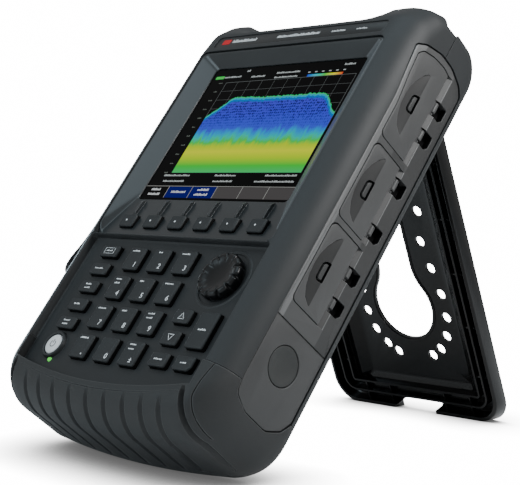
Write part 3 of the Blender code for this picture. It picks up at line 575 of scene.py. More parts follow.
def make_rear_shell(whole):
    shell = copied(whole)
    carve(shell, block((-BEYOND, BEYOND), (-20, SEAM_Y + GAP), (-10, TOP + 10)), boot_zone(GAP),
          *side_pockets())
    carve(shell, cavity(), bay_room())
    bay = box_outline(-73.5, 73.5, 46.0, 276.5, 5.0)
    wells = [box_outline(x - 9.0, x + 9.0, z - 26.0, z + 26.0, 3.0)
             for x in (-48.0, 0.0, 48.0) for z in (92.0, 220.0)]
    carve(shell, prism([bay], "xz", 59.4, 90), prism(wells, "xz", 58.2, 90))
    screws = [circle((x, z), 3.4, 28) for x in (-81.0, 81.0) for z in (58.0, 262.0)]
    pins = [circle((65.5, 270.0), 2.3, 20)]
    carve(shell, prism(screws, "xz", 66.0, 90), prism(pins, "yz", -81.5, 81.5))
    ribs = []
    for x in (-24.0, 24.0):
        ribs.append(box_outline(x - 0.8, x + 0.8, 62.0, 258.0))
    for z in (60.0, 156.0, 252.0):
        ribs.append(box_outline(-64.0, -25.5, z - 0.8, z + 0.8))
        ribs.append(box_outline(-22.5, 22.5, z - 0.8, z + 0.8))
        ribs.append(box_outline(25.5, 64.0, z - 0.8, z + 0.8))
    carve(shell, prism(ribs, "xz", 58.6, 60.2), operation="UNION")
    return fit(shell, "rear_shell_skin", SHELL, replaces=["rear_shell"])


def lip_line(below, half):
    """A fine groove under the keypad tongue's arc."""
    rings = []
    for i in range(41):
        x = -73.0 + 146.0 * i / 40
        z = arc_height(x) - below
        section = ((-6.0, -half - 1.0), (0.9, -0.1), (0.9, 0.1), (-6.0, half + 1.0))
        rings.append([(x, y, z + rise) for y, rise in section])
    cut = skinned(rings)
    for vert in cut.data.vertices:
        y, z = vert.co.y, vert.co.z
        if z < 24.0:
            vert.co.y = y + 24.0 - math.sqrt(max(0.0, 24.0 ** 2 - (24.0 - z) ** 2))
    return cut


def seam_line(side):
    """The narrow joint between the boot's front and its corner piece."""
    spots = ((86.5, 180, 19.0), (83.0, 183, 3.0), (81.6, 200, 0.0), (82.6, 218, 0.0), (85.0, 245, 0.0),
             (86.4, 266, 0.0))
    rings = []
    for x, angle, lift in spots:
        turn = math.radians(angle)
        inner, outer = [], []
        for radius, bank in ((27.0, outer), (22.9, inner)):
            y, z = 24.0 + radius * math.cos(turn), 24.0 + lift + radius * math.sin(turn)
            bank += [on_casing(side * (x + e), y, z) for e in (-0.3, 0.3)]
        rings.append([inner[0], inner[1], outer[1], outer[0]])
    return skinned(rings)


def make_boot(whole):
    """The ribbed rubber boot: soft ribs stand between narrow grooves."""
    boot = copied(whole)
    carve(boot, boot_zone(0.0), operation="INTERSECT")
    carve(boot, *side_pockets(), cavity(), block((-73.5, 73.5), (59.4, 90), (40.0, 90)))
    lines = [(side * x, 0.0, 2.2, 1.3, 196) for x in (16.0, 32.0, 46.5, 60.5) for side in (-1, 1)]
    lines += [(0.0, 0.0, 2.2, 1.3, 196), (75.2, 7.0, 3.8, 0.9, 183), (-75.2, -7.0, 3.8, 0.9, 183)]
    for middle, drift, deepest, wide, first in lines:
        path = arc((24.0, 24.0), 24.0, first, 270, 20) + [(36.0, 0.0), (52.0, 0.0)]
        rings = []
        count = len(path)
        for i, (y, z) in enumerate(path):
            before, after = path[max(0, i - 1)], path[min(count - 1, i + 1)]
            along = Vector((after[0] - before[0], after[1] - before[1])).normalized()
            inward = Vector((-along.y, along.x))
            fade = min(1.0, i / (5.0 if drift == 0.0 else 1.5), (count - 1 - i) / 1.5 + 0.05)
            depth, half = deepest * fade + 0.05, wide + 0.9 * fade
            shift = middle + drift * min(1.0, i / 20.0) ** 1.4
            ring = []
            for across, down in ((-half - 1.2, -3.0), (-half - 0.1, -0.02), (-half * 0.55, depth * 0.7),
                                 (0.0, depth),
                                 (half * 0.55, depth * 0.7), (half + 0.1, -0.02), (half + 1.2, -3.0)):
                spot = Vector((y, z)) + inward * down
                ring.append(on_casing(shift + across, spot.x, spot.y))
            rings.append(ring)
        carve(boot, skinned(rings))
    carve(boot, lip_line(3.4, 0.5), seam_line(1), seam_line(-1))
    return fit(boot, "boot_skin", BOOT, replaces=["bottom_bumper"], sharp=40)


def make_bezel():
    x0, x1, z0, z1 = BEZEL_BOX
    wx0, wx1, wz0, wz1 = WINDOW
    middle, half = (z0 + z1) / 2, (z1 - z0) / 2
    base = subdivided(box_outline(x0, x1, z0, z1, 3.6), 4.0)

    def window(grow, level):
        left, wide, foot, tall = wx0 - grow, wx1 - wx0 + 2 * grow, wz0 - grow, wz1 - wz0 + 2 * grow
        return [(left + wide * (a - x0) / (x1 - x0), level, foot + tall * (b - z0) / (z1 - z0)) for a,
                b in base]

    def shaped(shrink, level, ledge):
        return [(a * (x1 - shrink) / x1, ledge + (level - ledge) * ease(b, z0 + 2.5, z0 + 9.0),
                 middle + (b - middle) * (half - shrink) / half) for a, b in base]

    bezel = skinned([shaped(0.0, 9.2, 9.2), shaped(0.0, 2.0, 4.6), shaped(0.3, 1.3, 4.1),
                     shaped(0.9, 1.0, 3.9),
                     shaped(1.6, 1.1, 4.1), shaped(2.2, 1.6, 4.8), window(0.5, 7.8), window(0.2, 8.1),
                     window(0.0, 9.2)], closed=True)
    carve(bezel, prism([key_hole(*entry) for entry in KEYS[:6]], "xz", -5, 15))
    fin = [(9.0, 136.2), (5.2, 136.2), (4.5, 137.6), (4.9, 145.6), (6.6, 148.2), (9.0, 148.4)]
    carve(bezel, *[prism([fin], "yz", entry[1] - 0.9, entry[1] + 0.9) for entry in KEYS[:6]],
          operation="UNION")
    # the right flank, where it faces left, takes the lighter copy as a painted reflection
    painted(bezel, (BEZEL, BEZEL_PAINTED_SHEEN), lambda spot, normal:
            spot.x > wx1 and spot.z > z0 + 9.0 and normal.x < -0.12)
    fit(bezel, "display_bezel_skin", None, replaces=["display_bezel"], sharp=28)


# ---------------------------------------------------------------- keys

def bars(cells, level):
    """Thin raised marks from (x, z, width, height) cells, facing the front."""
    return prism([box_outline(x - w / 2, x + w / 2, z - h / 2, z + h / 2) for x, z, w, h in cells], "xz",
                 level + 0.12, level)


def strokes(x, z, width, rng, height=0.85):
    """A row of short dashes that stands for a printed word."""
    cells = []
    at = x - width / 2
    while at < x + width / 2 - 0.4:
        dash = min(rng.choice((0.55, 0.8, 1.1)), x + width / 2 - at)
        tall = height * rng.choice((0.8, 1.0, 1.25))
        cells.append((at + dash / 2, z + (tall - height) / 2, dash, tall))
        at += dash + 0.32
    return cells


def digits(text, x, z, size, level):
    curve = bpy.data.curves.new("digit", "FONT")
    curve.body = text
    curve.size = size
    curve.align_x = curve.align_y = "CENTER"
    curve.extrude = curve.offset = 0.06
    item = shown("digit", curve)
    mesh = evaluated_mesh(item)
    bpy.data.objects.remove(item, do_unlink=True)
    mesh.transform(Matrix.Translation((x, level, z)) @ Matrix.Rotation(math.radians(90), 4, "X"))
    return shown("digit", mesh)


def frame_lines(outline, width, level):
    """A thin closed line along an outline."""
    centre = Vector((sum(p[0] for p in outline), sum(p[1] for p in outline))) / len(outline)
    inner = []
    for point in outline:
        out = Vector(point) - centre
        inner.append(tuple(centre + out.normalized() * (out.length - width)))
    return loft([(outline, level + 0.1), (outline, level), (inner, level),
                 (inner, level + 0.1)], "xz", closed=True)


def make_key(name, x, z, width, height):
    floor = 9.5 if name.startswith("softkey") else 10.3
    profile = ((1.55, 0.12), (0.95, 0.0), (0.5, 0.12), (0.16, 0.5), (0.0, 1.1), (-0.05, floor - KEY_TOP_Y))
    levels = []
    for inward, down in profile:
        a, b, radius = width / 2 - inward, height / 2 - inward, max(0.35, 1.3 - inward * 0.5)
        corners = [(-a, -b, radius), (a, -b, radius), (a, b, radius), (-a, b, radius)]
        if name == "esc_key":
            corners[1:2] = [(a - ESC_CUT, -b, radius), (a, ESC_CUT - b, radius)]
        levels.append(([(x + p, z + q) for p, q in rounded(corners, steps=4)], KEY_TOP_Y + down))
    # the tops take the key rubber, the side walls the near-black painted shade
    cap = painted(loft(levels, "xz"), (KEY_TOP, PAINTED_SHADE_BLACK), lambda spot, normal: spot.y > KEY_TOP_Y + 0.8)
    fit(cap, name + "_cap", None, name, [name], sharp=50)


def make_legends():
    rng = random.Random(7)
    level = KEY_TOP_Y - 0.02
    for name, x, z, width, height in KEYS:
        parts = []
        cells = []
        if name.startswith("softkey"):
            parts.append(prism([circle((x - 0.8, z), 0.62, 16)], "xz", level - 0.05, level + 0.1))
        elif name == "function_key_1":
            cells += strokes(x, z, 5.6, rng)
            parts.append(frame_lines(subdivided(box_outline(x - 4.6, x + 4.6, z - 2.1, z + 2.1), 1.0),
                                     0.32, level))
        elif name.startswith("function_key"):
            if name[-1] in "24":
                cells += strokes(x, z, 7.6 if name[-1] == "2" else 6.0, rng)
            else:
                cells += strokes(x - 0.3, z + 1.3, 5.6, rng) + strokes(x - 0.3, z - 1.3, 5.0, rng)
        elif name.startswith("number_key"):
            label = name.rsplit("_", 1)[1]
            if label == "point":
                cells.append((x + 3.8, z - 5.2, 0.9, 0.9))
            elif label == "sign":
                parts.append(digits("±", x + 3.0, z - 4.4, 4.6, level))
            else:
                parts.append(digits(label, x + 3.8, z - 4.4, 4.8, level))
            if label in ("4", "9", "sign"):
                cells += strokes(x - 1.4, z + 5.4, 5.4, rng) + strokes(x - 1.4, z + 2.6, 5.0, rng)
            elif label != "0":
                width = {"2": 3.6, "5": 3.2, "8": 4.2}.get(label, 7.2)
                cells += strokes(x - (3.0 if label in "58" else 1.0), z + 5.2, width, rng)
        elif name in ("up_key", "down_key"):
            tip = 2.1 if name == "up_key" else -2.1
            corners = [(x - 2.6, z - tip, 0), (x + 2.6, z - tip, 0), (x, z + tip, 0)]
            parts.append(frame_lines(subdivided(rounded(corners), 0.5), 0.42, level))
        elif name == "enter_key":
            cells += strokes(x, z, 6.2, rng, 1.0)
        elif name == "back_key":
            cells += strokes(x, z, 7.0, rng)
        else:
            cells += strokes(x, z, 4.6, rng)
        if cells:
            parts.append(bars(cells, level))
        for part in parts:
            part.data.materials.append(INK)
        whole = joined(parts) if len(parts) > 1 else parts[0]
        fit(whole, name + "_legend", None, name)


def make_knob():
    """Finger wheel with a dished face and scallops round its rim."""
    profile = [(0, 2.5), (4, 2.45), (7.5, 2.1), (9.8, 1.4), (11.2, 0.85), (12.2, 0.65), (13.2, 0.75),
               (14.0, 1.3),
               (14.5, 2.3), (14.6, 3.6), (14.6, 5.6), (14.4, 6.6), (13.4, 7.1), (3.0, 7.2), (3.0, 13.9),
               (0, 13.9)]
    depths = {3: 0.02, 4: 0.10, 5: 0.17, 6: 0.20, 7: 0.19, 8: 0.15, 9: 0.08, 10: 0.03}

    def wave(k, angle):
        dip = math.cos(12 * angle)
        return 1.0 - depths.get(k, 0.0) * max(0.0, dip) ** 3

    knob = turned(profile, (KNOB[0], 0, KNOB[1]), (0, 1, 0), 192, wave=wave)
    fit(knob, "knob_wheel", KNOB_BLACK, "knob", ["knob"], sharp=60)


def make_power():
    profile = [(0, 4.25), (4.8, 4.3), (6.0, 4.5), (6.45, 4.95), (6.55, 5.8), (6.6, 9.2), (7.4, 9.2),
               (7.4, 10.0),
               (0, 10.0)]
    fit(turned(profile, (POWER[0], 0, POWER[1]), (0, 1, 0), 56), "power_button_cap", SILVER, "power_button",
        ["power_button"], sharp=50)
    ink = plastic("grey_ink", (0.02, 0.02, 0.022), rough=0.6, wear=0.0)
    rings = []
    for angle in range(-50, 231, 14):
        a = math.radians(angle)
        rings.append([(POWER[0] + math.cos(a) * r, y, POWER[1] - math.sin(a) * r)
                      for r, y in ((1.9, 4.32), (1.9, 4.18), (2.35, 4.18), (2.35, 4.32))])
    symbol = joined([skinned(rings), bars([(POWER[0], POWER[1] + 1.5, 0.45, 2.4)], 4.18)])
    fit(symbol, "power_symbol", ink, "power_button")
    lens = [(0, 5.7), (1.0, 5.8), (1.5, 6.2), (1.6, 6.6), (1.6, 10.0), (0, 10.0)]
    glow = glowing("green_lamp", (0.12, 0.75, 0.10), 1.1)
    fit(turned(lens, (LAMP[0], 0, LAMP[1]), (0, 1, 0), 24), "status_lamp", glow, replaces=["status_lens"])


# ---------------------------------------------------------------- display

PLOT = (-49.5, 63.2, 171.5, 245.4)
SCREEN_Y = 8.7


def on_plot(u, v):
    x0, x1, z0, z1 = PLOT
    return x0 + (x1 - x0) * u, z0 + (z1 - z0) * v


def sheet_of(quads, level=SCREEN_Y):
    """Flat quads given by four (x, z) corners each, with their plot coordinates as UVs."""
    bm = bmesh.new()
    layer = bm.loops.layers.uv.new("plot")
    x0, x1, z0, z1 = PLOT
    for quad in quads:
        front = [bm.verts.new((x, level - 0.05, z)) for x, z in quad]
        back = [bm.verts.new((x, level + 0.2, z)) for x, z in quad]
        count = len(quad)
        faces = [bm.faces.new(front), bm.faces.new(list(reversed(back)))]
        for i in range(count):
            j = (i + 1) % count
            faces.append(bm.faces.new((front[j], front[i], back[i], back[j])))
        for face in faces:
            for loop in face.loops:
                point = loop.vert.co
                loop[layer].uv = ((point.x - x0) / (x1 - x0), (point.z - z0) / (z1 - z0))
    return solid(bm)


def density_look():
    """Signal density: even bands at the bottom, blue speckled haze above."""
    material, tree, shader = principled("density_map", {
        "Base Color": BLACK, "Specular IOR Level": 0.03, "Roughness": 0.25, "Emission Strength": 1.0})
    spot = add(tree, "UVMap", uv_map="plot")
    rise = add(tree, "SeparateXYZ", {"Vector": spot}).outputs["Y"]
    stretch = add(tree, "Mapping", {"Scale": (1.0, 0.12, 1.0), "Vector": spot})
    ragged = add(tree, "TexNoise", {"Scale": 16.0, "Detail": 5.0, "Roughness": 0.75, "Vector": stretch})
    shift = add(tree, "MapRange", {"From Min": 0.25, "From Max": 0.75, "To Min": 0.075, "To Max": -0.075,
                                   "Value": ragged})
    lift = add(tree, "MapRange", {"From Min": 0.22, "From Max": 0.36, "Value": rise})
    amount = add(tree, "Math", {0: shift, 1: lift}, operation="MULTIPLY")
    height = add(tree, "Math", {0: rise, 1: amount}, operation="ADD")
    bands = ramp(tree, height, (
        (0.0, (0.02, 0.50, 0.12)), (0.07, (0.02, 0.52, 0.03)), (0.15, (0.40, 0.62, 0.0)),
        (0.22, (0.62, 0.70, 0.0)), (0.28, (0.44, 0.62, 0.0)), (0.325, (0.02, 0.55, 0.06)),
        (0.37, (0.0, 0.48, 0.40)), (0.42, (0.0, 0.28, 0.66)), (0.47, (0.04, 0.07, 0.66)),
        (0.62, (0.04, 0.05, 0.66)), (0.80, (0.05, 0.05, 0.64))))
    pitch = add(tree, "Mapping", {"Scale": (64.0, 34.0, 1.0), "Vector": spot})
    lattice = add(tree, "TexVoronoi", {"Scale": 1.0, "Randomness": 0.35, "Vector": pitch})
    dark = add(tree, "MapRange", {"From Min": 0.22, "From Max": 0.50, "To Min": 0.96, "To Max": 0.0,
                                  "Value": lattice})
    haze = add(tree, "MapRange", {"From Min": 0.44, "From Max": 0.62, "Value": height})
    cover = add(tree, "Math", {0: dark, 1: haze}, operation="MULTIPLY")
    speckle = add(tree, "Mix", {0: cover, 6: bands, 7: (0.002, 0.003, 0.02, 1.0)}, data_type="RGBA")
    feed(tree, shader, {"Emission Color": speckle.outputs[2]})
    return material


def scale_look(x0, x1):
    """Colour key from blue to red, between two places along the plot."""
    material, tree, shader = principled("colour_key", {
        "Base Color": BLACK, "Specular IOR Level": 0.03, "Emission Strength": 1.0})
    split = add(tree, "SeparateXYZ", {"Vector": add(tree, "UVMap", uv_map="plot")})
    low, high = [(x - PLOT[0]) / (PLOT[1] - PLOT[0]) for x in (x0, x1)]
    stops = ((0.0, (0.02, 0.04, 0.6)), (0.25, (0.01, 0.5, 0.6)), (0.5, (0.05, 0.6, 0.05)),
             (0.75, (0.8, 0.75, 0.02)), (1.0, (0.75, 0.04, 0.02)))
    colours = ramp(tree, split, [(low + (high - low) * share, colour) for share, colour in stops])
    feed(tree, shader, {"Emission Color": colours})
    return material


def rect(x0, x1, z0, z1):
    return [(x0, z0), (x1, z0), (x1, z1), (x0, z1)]


def cell_quads(cells):
    return [rect(x - w / 2, x + w / 2, z - h / 2, z + h / 2) for x, z, w, h in cells]


def make_display():
    rng = random.Random(21)
    x0, x1, z0, z1 = WINDOW
    pane = loft([(box_outline(x0 + 0.2, x1 - 0.2, z0 + 0.2, z1 - 0.2), SCREEN_Y),
                 (box_outline(x0 + 0.2, x1 - 0.2, z0 + 0.2, z1 - 0.2), 9.4),
                 (box_outline(x0 - 1.4, x1 + 1.4, z0 - 1.4, z1 + 1.4), 9.4),
                 (box_outline(x0 - 1.4, x1 + 1.4, z0 - 1.4, z1 + 1.4), 10.9)], "xz")
    glass = plastic("screen_glass", (0.0004, 0.0004, 0.0005), rough=0.12, grain=0.02, wear=0.0, specular=0.03)
    fit(pane, "display_pane", glass, replaces=["display_window"])

    edge = [(0.0, 0.35), (-0.006, 0.597), (0.04, 0.66), (0.09, 0.729), (0.15, 0.816), (0.25, 0.812),
            (0.38, 0.80),
            (0.5, 0.806), (0.62, 0.80), (0.74, 0.81), (0.855, 0.803), (0.889, 0.770), (0.951, 0.659),
            (1.0, 0.589)]

    def crest(u):
        for (ua, va), (ub, vb) in zip(edge[1:], edge[2:]):
            if ua <= u <= ub:
                return va + (vb - va) * (u - ua) / (ub - ua)
        return edge[-1][1]

    tops = []
    count = 150
    for i in range(count + 1):
        u = i / count
        tops.append((u, crest(u) + rng.uniform(-0.010, 0.006)))
    quads = []
    for (ua, va), (ub, vb) in zip(tops, tops[1:]):
        quads.append([on_plot(ua, 0.0), on_plot(ub, 0.0), on_plot(ub, vb), on_plot(ua, va)])

    def show(name, quads, look, lift=0.0):
        fit(sheet_of(quads, SCREEN_Y - lift), "screen_" + name, look)

    show("density", quads, density_look(), 0.03)
    for name, low, high, colour in (("edge_green", -0.004, 0.008, (0.02, 0.50, 0.14)),
                                    ("edge_cyan", -0.022, -0.004, (0.0, 0.34, 0.50)),
                                    ("edge_blue", -0.045, -0.022, (0.0, 0.13, 0.50))):
        band = []
        for (ua, va), (ub, vb) in zip(tops, tops[1:]):
            band.append([on_plot(ua, va + low), on_plot(ub, vb + low), on_plot(ub, vb + high),
                         on_plot(ua, va + high)])
        show(name, band, glowing(name, colour, 0.9), 0.05)

    grid = []
    for k in range(11):
        x, _ = on_plot(k / 10, 0)
        _, z = on_plot(0, k / 10)
        bright = 0.22 if k in (0, 10) else 0.12
        grid.append((x, (PLOT[2] + PLOT[3]) / 2, bright, PLOT[3] - PLOT[2]))
        grid.append(((PLOT[0] + PLOT[1]) / 2, z, PLOT[1] - PLOT[0], bright))
    show("grid", cell_quads(grid), glowing("grid_grey", (0.22, 0.24, 0.24), 0.5), 0.01)

    words = []
    for x, z, width in ((-46.3, 250.0, 15.9), (-22.2, 249.0, 12.9), (3.7, 250.6, 20.2), (3.7, 246.9, 20.2),
                        (-43.0, 169.2, 24.0), (-43.0, 164.8, 20.0), (1.7, 169.2, 19.0), (1.7, 164.8, 17.0),
                        (48.6, 169.2, 25.8), (45.5, 164.8, 32.4)):
        words += strokes(x, z, width, rng, 1.05)
    dim = []
    for k in range(11):
        dim += strokes(-55.0, PLOT[2] + (PLOT[3] - PLOT[2]) * k / 10, 3.4, rng, 0.8)
    show("axis_marks", cell_quads(dim), glowing("text_dim", (0.16, 0.18, 0.16), 0.6))
    words += strokes(-33.9, 254.4, 3.4, rng, 1.3) + strokes(53.8, 253.6, 9.0, rng, 1.2)
    for k in range(6):
        words.append((22.5 + 5.8 * k, 249.3, 1.9, 0.8))
    show("text", cell_quads(words), glowing("text_white", (0.50, 0.54, 0.54), 0.75))
    show("colour_key", [rect(22.3, 51.6, 245.7, 247.4)], scale_look(22.3, 51.6))
    show("status_tag", [rect(-62.7, -54.8, 248.9, 251.3)], glowing("tag_green", (0.05, 0.55, 0.08), 0.9))

    lights, blues, greys, labels = [], [], [], []
    for k in range(7):
        x = 0.7 + 22.08 * (k - 3)
        if 0 < k < 6:
            lights.append((x, 156.4, 0.35, 8.6))
    lights += [(0.0, 160.9, 131.0, 0.30)]
    for k, bank in ((1, blues), (2, blues), (3, greys), (4, greys), (5, greys)):
        left = 0.7 + 22.08 * (k - 3)
        bank.append((left + 11.04, 156.2, 21.3, 8.4))
    for k, width in ((0, 9.0), (1, 13.0), (2, 10.5)):
        middle = 0.7 + 22.08 * (k - 3) + 11.04
        if k != 1:
            labels += strokes(middle, 158.2, width, rng, 1.35)
            labels += strokes(middle, 154.6, width + 2.0, rng, 1.35)
        else:
            labels += strokes(middle, 156.4, width, rng, 1.35)
    show("tabs_blue", cell_quads(blues), glowing("tab_blue", (0.0, 0.0, 0.12), 0.9))
    show("tabs_grey", cell_quads(greys), glowing("tab_grey", (0.058, 0.054, 0.054), 0.9))
    show("dividers", cell_quads(lights), glowing("divider", (0.45, 0.45, 0.43), 0.6), 0.03)
    show("labels", cell_quads(labels), INK_LIT, 0.03)


INK_LIT = glowing("label_white", (0.75, 0.78, 0.80), 0.75)


# ---------------------------------------------------------------- sides

def offset_outline(outline, amount):
    """A convex outline drawn in (positive) or out by an amount."""
    area = 0.0
    count = len(outline)
    for i in range(count):
        (a0, b0), (a1, b1) = outline[i], outline[(i + 1) % count]
        area += a0 * b1 - a1 * b0
    turn = 1.0 if area > 0 else -1.0
    moved = []
    for i in range(count):
        before, here, after = (Vector(outline[i - 1]), Vector(outline[i]), Vector(outline[(i + 1) % count]))
        first, second = (here - before).normalized(), (after - here).normalized()
        normal_a, normal_b = Vector((-first.y, first.x)) * turn, Vector((-second.y, second.x)) * turn
        bisector = (normal_a + normal_b).normalized()
        stretch = 1.0 / max(0.5, bisector.dot(normal_a))
        spot = here + bisector * amount * stretch
        moved.append((spot.x, spot.y))
    return moved


def soft_slab(outline, back, face, edge=0.5):
    """A flat slab whose face edge is rounded over."""
    turn = 1.0 if face > back else -1.0
    return loft([(outline, back), (outline, face - edge * turn),
                 (offset_outline(outline, edge * 0.3), face - edge * 0.3 * turn),
                 (offset_outline(outline, edge), face)], "yz")


def pocket(outline, floor, mouth, flare=0.4):
    """A tool for a recess with a softened mouth."""
    turn = 1.0 if mouth > floor else -1.0
    wide = offset_outline(outline, -flare)
    return loft([(outline, floor), (outline, mouth - flare * turn), (wide, mouth),
                 (wide, mouth + 4.0 * turn)], "yz")


DOOR_Y = (21.2, 46.4)
DOOR_X = (90.4, 93.4)
DOOR_Z = ((96.4, 148.4), (153.0, 204.4), (209.6, 266.0))
HINGE_AT = (90.7, 50.4)
NOTCH_Z = (((107.0, 116.0), (127.6, 136.6)), ((157.2, 166.5), (189.0, 199.5)),
           ((226.2, 236.0), (246.8, 256.8)))


def door_outline(index, grow=0.0):
    y0, y1 = DOOR_Y[0] - grow, DOOR_Y[1] + grow
    z0, z1 = DOOR_Z[index][0] - grow, DOOR_Z[index][1] + grow
    if index < 2:
        corners = [(y0, z0, 3.6), (y1, z0, 0.6), (y1, z1, 0.6), (y0, z1, 5.0)]
    else:
        corners = [(y0, z0, 3.6), (y1, z0, 0.6), (y1, 274.0 + grow, 1.0), (40.8, 275.4 + grow, 12.0),
                   (30.0, 274.0 + grow, 14.0), (20.6 - grow / 2, 270.7 + grow, 5.0),
                   (17.5 - grow, 266.6, 3.5),
                   (18.6 - grow, 252.0, 12.0), (y0, 232.0, 30.0)]
    return rounded(corners, 12.0)


def split(item, depth):
    """Cuts an item's faces along a plane of equal depth, without opening it."""
    bm = bmesh.new()
    bm.from_mesh(item.data)
    everything = bm.verts[:] + bm.edges[:] + bm.faces[:]
    bmesh.ops.bisect_plane(bm, geom=everything, plane_co=(0, depth, 0), plane_no=(0, 1, 0))
    bm.to_mesh(item.data)
    bm.free()


def make_right_panel():
    y0, y1 = PANEL_Y
    outline = rounded([(y0, COVER_TOP_Z + GAP, 0.4), (y1, COVER_TOP_Z + GAP, 0.4)] + panel_corners())
    panel = soft_slab(outline, PANEL_X[0], PANEL_X[1], 0.6)
    tools = []
    for index in range(3):
        tools.append(pocket(door_outline(index, JOINT), DOOR_X[0] - GAP, DOOR_X[1], 0.15))
    carve(panel, *tools)
    tools = []
    for index in range(3):
        low, high = DOOR_Z[index]
        high += 8.5 if index == 2 else 0.0
        wall = DOOR_Y[1] + GAP
        trough = [(91.2, wall - 1.0), (91.2, wall + 0.3), (92.6, 49.4), (93.4, 51.0), (98.0, 52.0),
                  (98.0, wall - 1.0)]
        tools.append(prism([trough], "xy", low - GAP, high + GAP))
    carve(panel, *tools)
    tools = []
    for notches in NOTCH_Z:
        for low, high in notches:
            cut = rounded([(DOOR_Y[1] - 1.0, low - GAP, 0), (55.6, low - GAP, 1.0), (58.0, low + 2.6, 1.0),
                           (58.0, high + GAP, 1.0), (DOOR_Y[1] - 1.0, high + GAP, 0)])
            tools.append(pocket(cut, HINGE_AT[0] - 2.3, 93.4, 0.3))
    carve(panel, *tools)
    carve(panel, prism([circle(HINGE_AT, 1.2, 16)], "xy", 93.0, 268.5))
    split(panel, 21.3)
    split(panel, 51.3)

    # Deep faces in the notches, trough and door pockets take near-black painted shade; the strip behind the
    # doors takes the darker panel plastic, painted shade for a side that turns away to the back; the front
    # edge takes the border plastic and the rest the door plastic.
    def choose(middle, normal):
        behind = middle.y > 46.9
        if behind and middle.x < 93.0 and abs(middle.x - 92.0) > 0.8 or middle.x < 91.0 and middle.y > 20:
            return 2
        if behind:
            return 3
        return middle.y < 21.3 and middle.x > 92.6

    painted(panel, (DOOR, BORDER_AND_PAINTED_HIGHLIGHT, PAINTED_SHADE_BLACK, PANEL), choose)
    fit(panel, "right_panel_skin", None, replaces=["right_side_panel"], sharp=35)
    # thin lips along the hinge line, in the lighter plastic as a painted highlight on their edge
    lips = []
    for index, spans in enumerate((((95.7, 106.4), (116.3, 127.3), (137.0, 148.6)),
                                   ((152.8, 156.6), (166.8, 188.6), (199.9, 204.6)),
                                   ((209.4, 225.8), (236.3, 246.4), (257.2, 274.4)))):
        for low, high in spans:
            lips.append(prism([[(92.0, 50.2), (93.36, 50.55), (93.38, 51.2), (92.6, 51.4)]], "xy", low, high))
    fit(joined(lips), "right_panel_lips_painted_highlight", BORDER_AND_PAINTED_HIGHLIGHT, slot="right_side_panel")


def make_doors():
    x_axis, y_axis = HINGE_AT
    for i in range(3):
        name = f"access_door_{i + 1}"
        index = 2 - i
        door = soft_slab(door_outline(index), DOOR_X[0], DOOR_X[1], 0.5)
        low, high = DOOR_Z[index]
        middle = (low + high) / 2 + (3.6 if index == 2 else 0.0)
        front = [(33.0, -22.3), (28.4, -19.8), (25.2, -14.5), (23.4, -8.0), (23.0, -1.0), (23.6, 5.5),
                 (25.8, 12.0),
                 (29.4, 18.6), (32.2, 21.6), (33.8, 21.9)]
        bowl = tilted_bowl(front, middle)
        carve(door, bowl)
        grip = rounded([(29.0, middle - 8.0, 3.4), (34.8, middle - 7.0, 0.8), (34.8, middle + 6.2, 0.8),
                        (29.2, middle + 4.8, 3.6)], 12.0)
        carve(door, prism([grip], "yz", 91.2, 99.0))
        arms = []
        for z0, z1 in NOTCH_Z[index]:
            arm = [(DOOR_Y[1] - 2.0, x_axis - 0.2), (y_axis, x_axis - 0.6), (y_axis, x_axis + 0.5),
                   (DOOR_Y[1] - 2.0, x_axis + 1.1)]
            arms.append(prism([[(x, y) for y, x in arm]], "xy", z0, z1))
        carve(door, *arms, operation="UNION")
        knuckles = []
        for z0, z1 in NOTCH_Z[index]:
            low, high = z0 + 2.4, z1 - 0.4
            barrel = [(0, low), (1.3, low), (1.85, low + 0.5), (1.95, (low + high) / 2),
                      (1.85, high - 0.5), (1.3, high),
                      (0, high)]
            knuckles.append(turned(barrel, (HINGE_AT[0], HINGE_AT[1], 0), (0, 0, 1), 32))
        carve(door, *knuckles, operation="UNION")
        carve(door, prism([circle(HINGE_AT, 1.2, 16)], "xy", 60.0, 290.0))

        # The grip slot's walls and floor take the near-black painted shade, and the scoop's facet the darker
        # plastic as painted shade.
        def choose(centre, normal):
            inside = 28.6 < centre.y < 35.0 and abs(centre.z - middle) < 8.3 and 90.8 < centre.x < 93.3
            if inside and (abs(normal.x) < 0.5 or abs(centre.x - 91.2) < 0.05):
                return 1
            painted_scoop_shade = 22.5 < centre.y < 34.3 and abs(centre.z - middle) < 23.0 and 91.0 < centre.x < 93.36
            return 2 if painted_scoop_shade else 0

        painted(door, (DOOR, PAINTED_SHADE_BLACK, SCOOP_PAINTED_SHADE), choose)
        fit(door, name + "_leaf", None, name, [name], sharp=35)
        tab = rounded([(30.4, middle - 6.2, 2.6), (33.6, middle - 5.6, 0.5), (33.6, middle + 4.8, 0.5),
                       (30.5, middle + 3.6, 2.6)], 12.0)
        fit(soft_slab(tab, 91.25, 93.0, 0.5), name + "_latch", PANEL, name, slot=name)


def tilted_bowl(front, middle):
    """A leaf-shaped finger scoop, deepest along its curved front edge."""
    rings = []
    for y, rise in front:
        reach = 34.2 - y
        places = [(y + reach * k / 6, 2.1 * (1.0 - k / 6) * min(1.0, reach / 9.0) ** 0.8) for k in range(7)]
        rings.append([(93.42 - depth, here, middle + rise) for here, depth in places]
                     + [(98.0, here, middle + rise) for here, depth in reversed(places)])
    return skinned(rings)


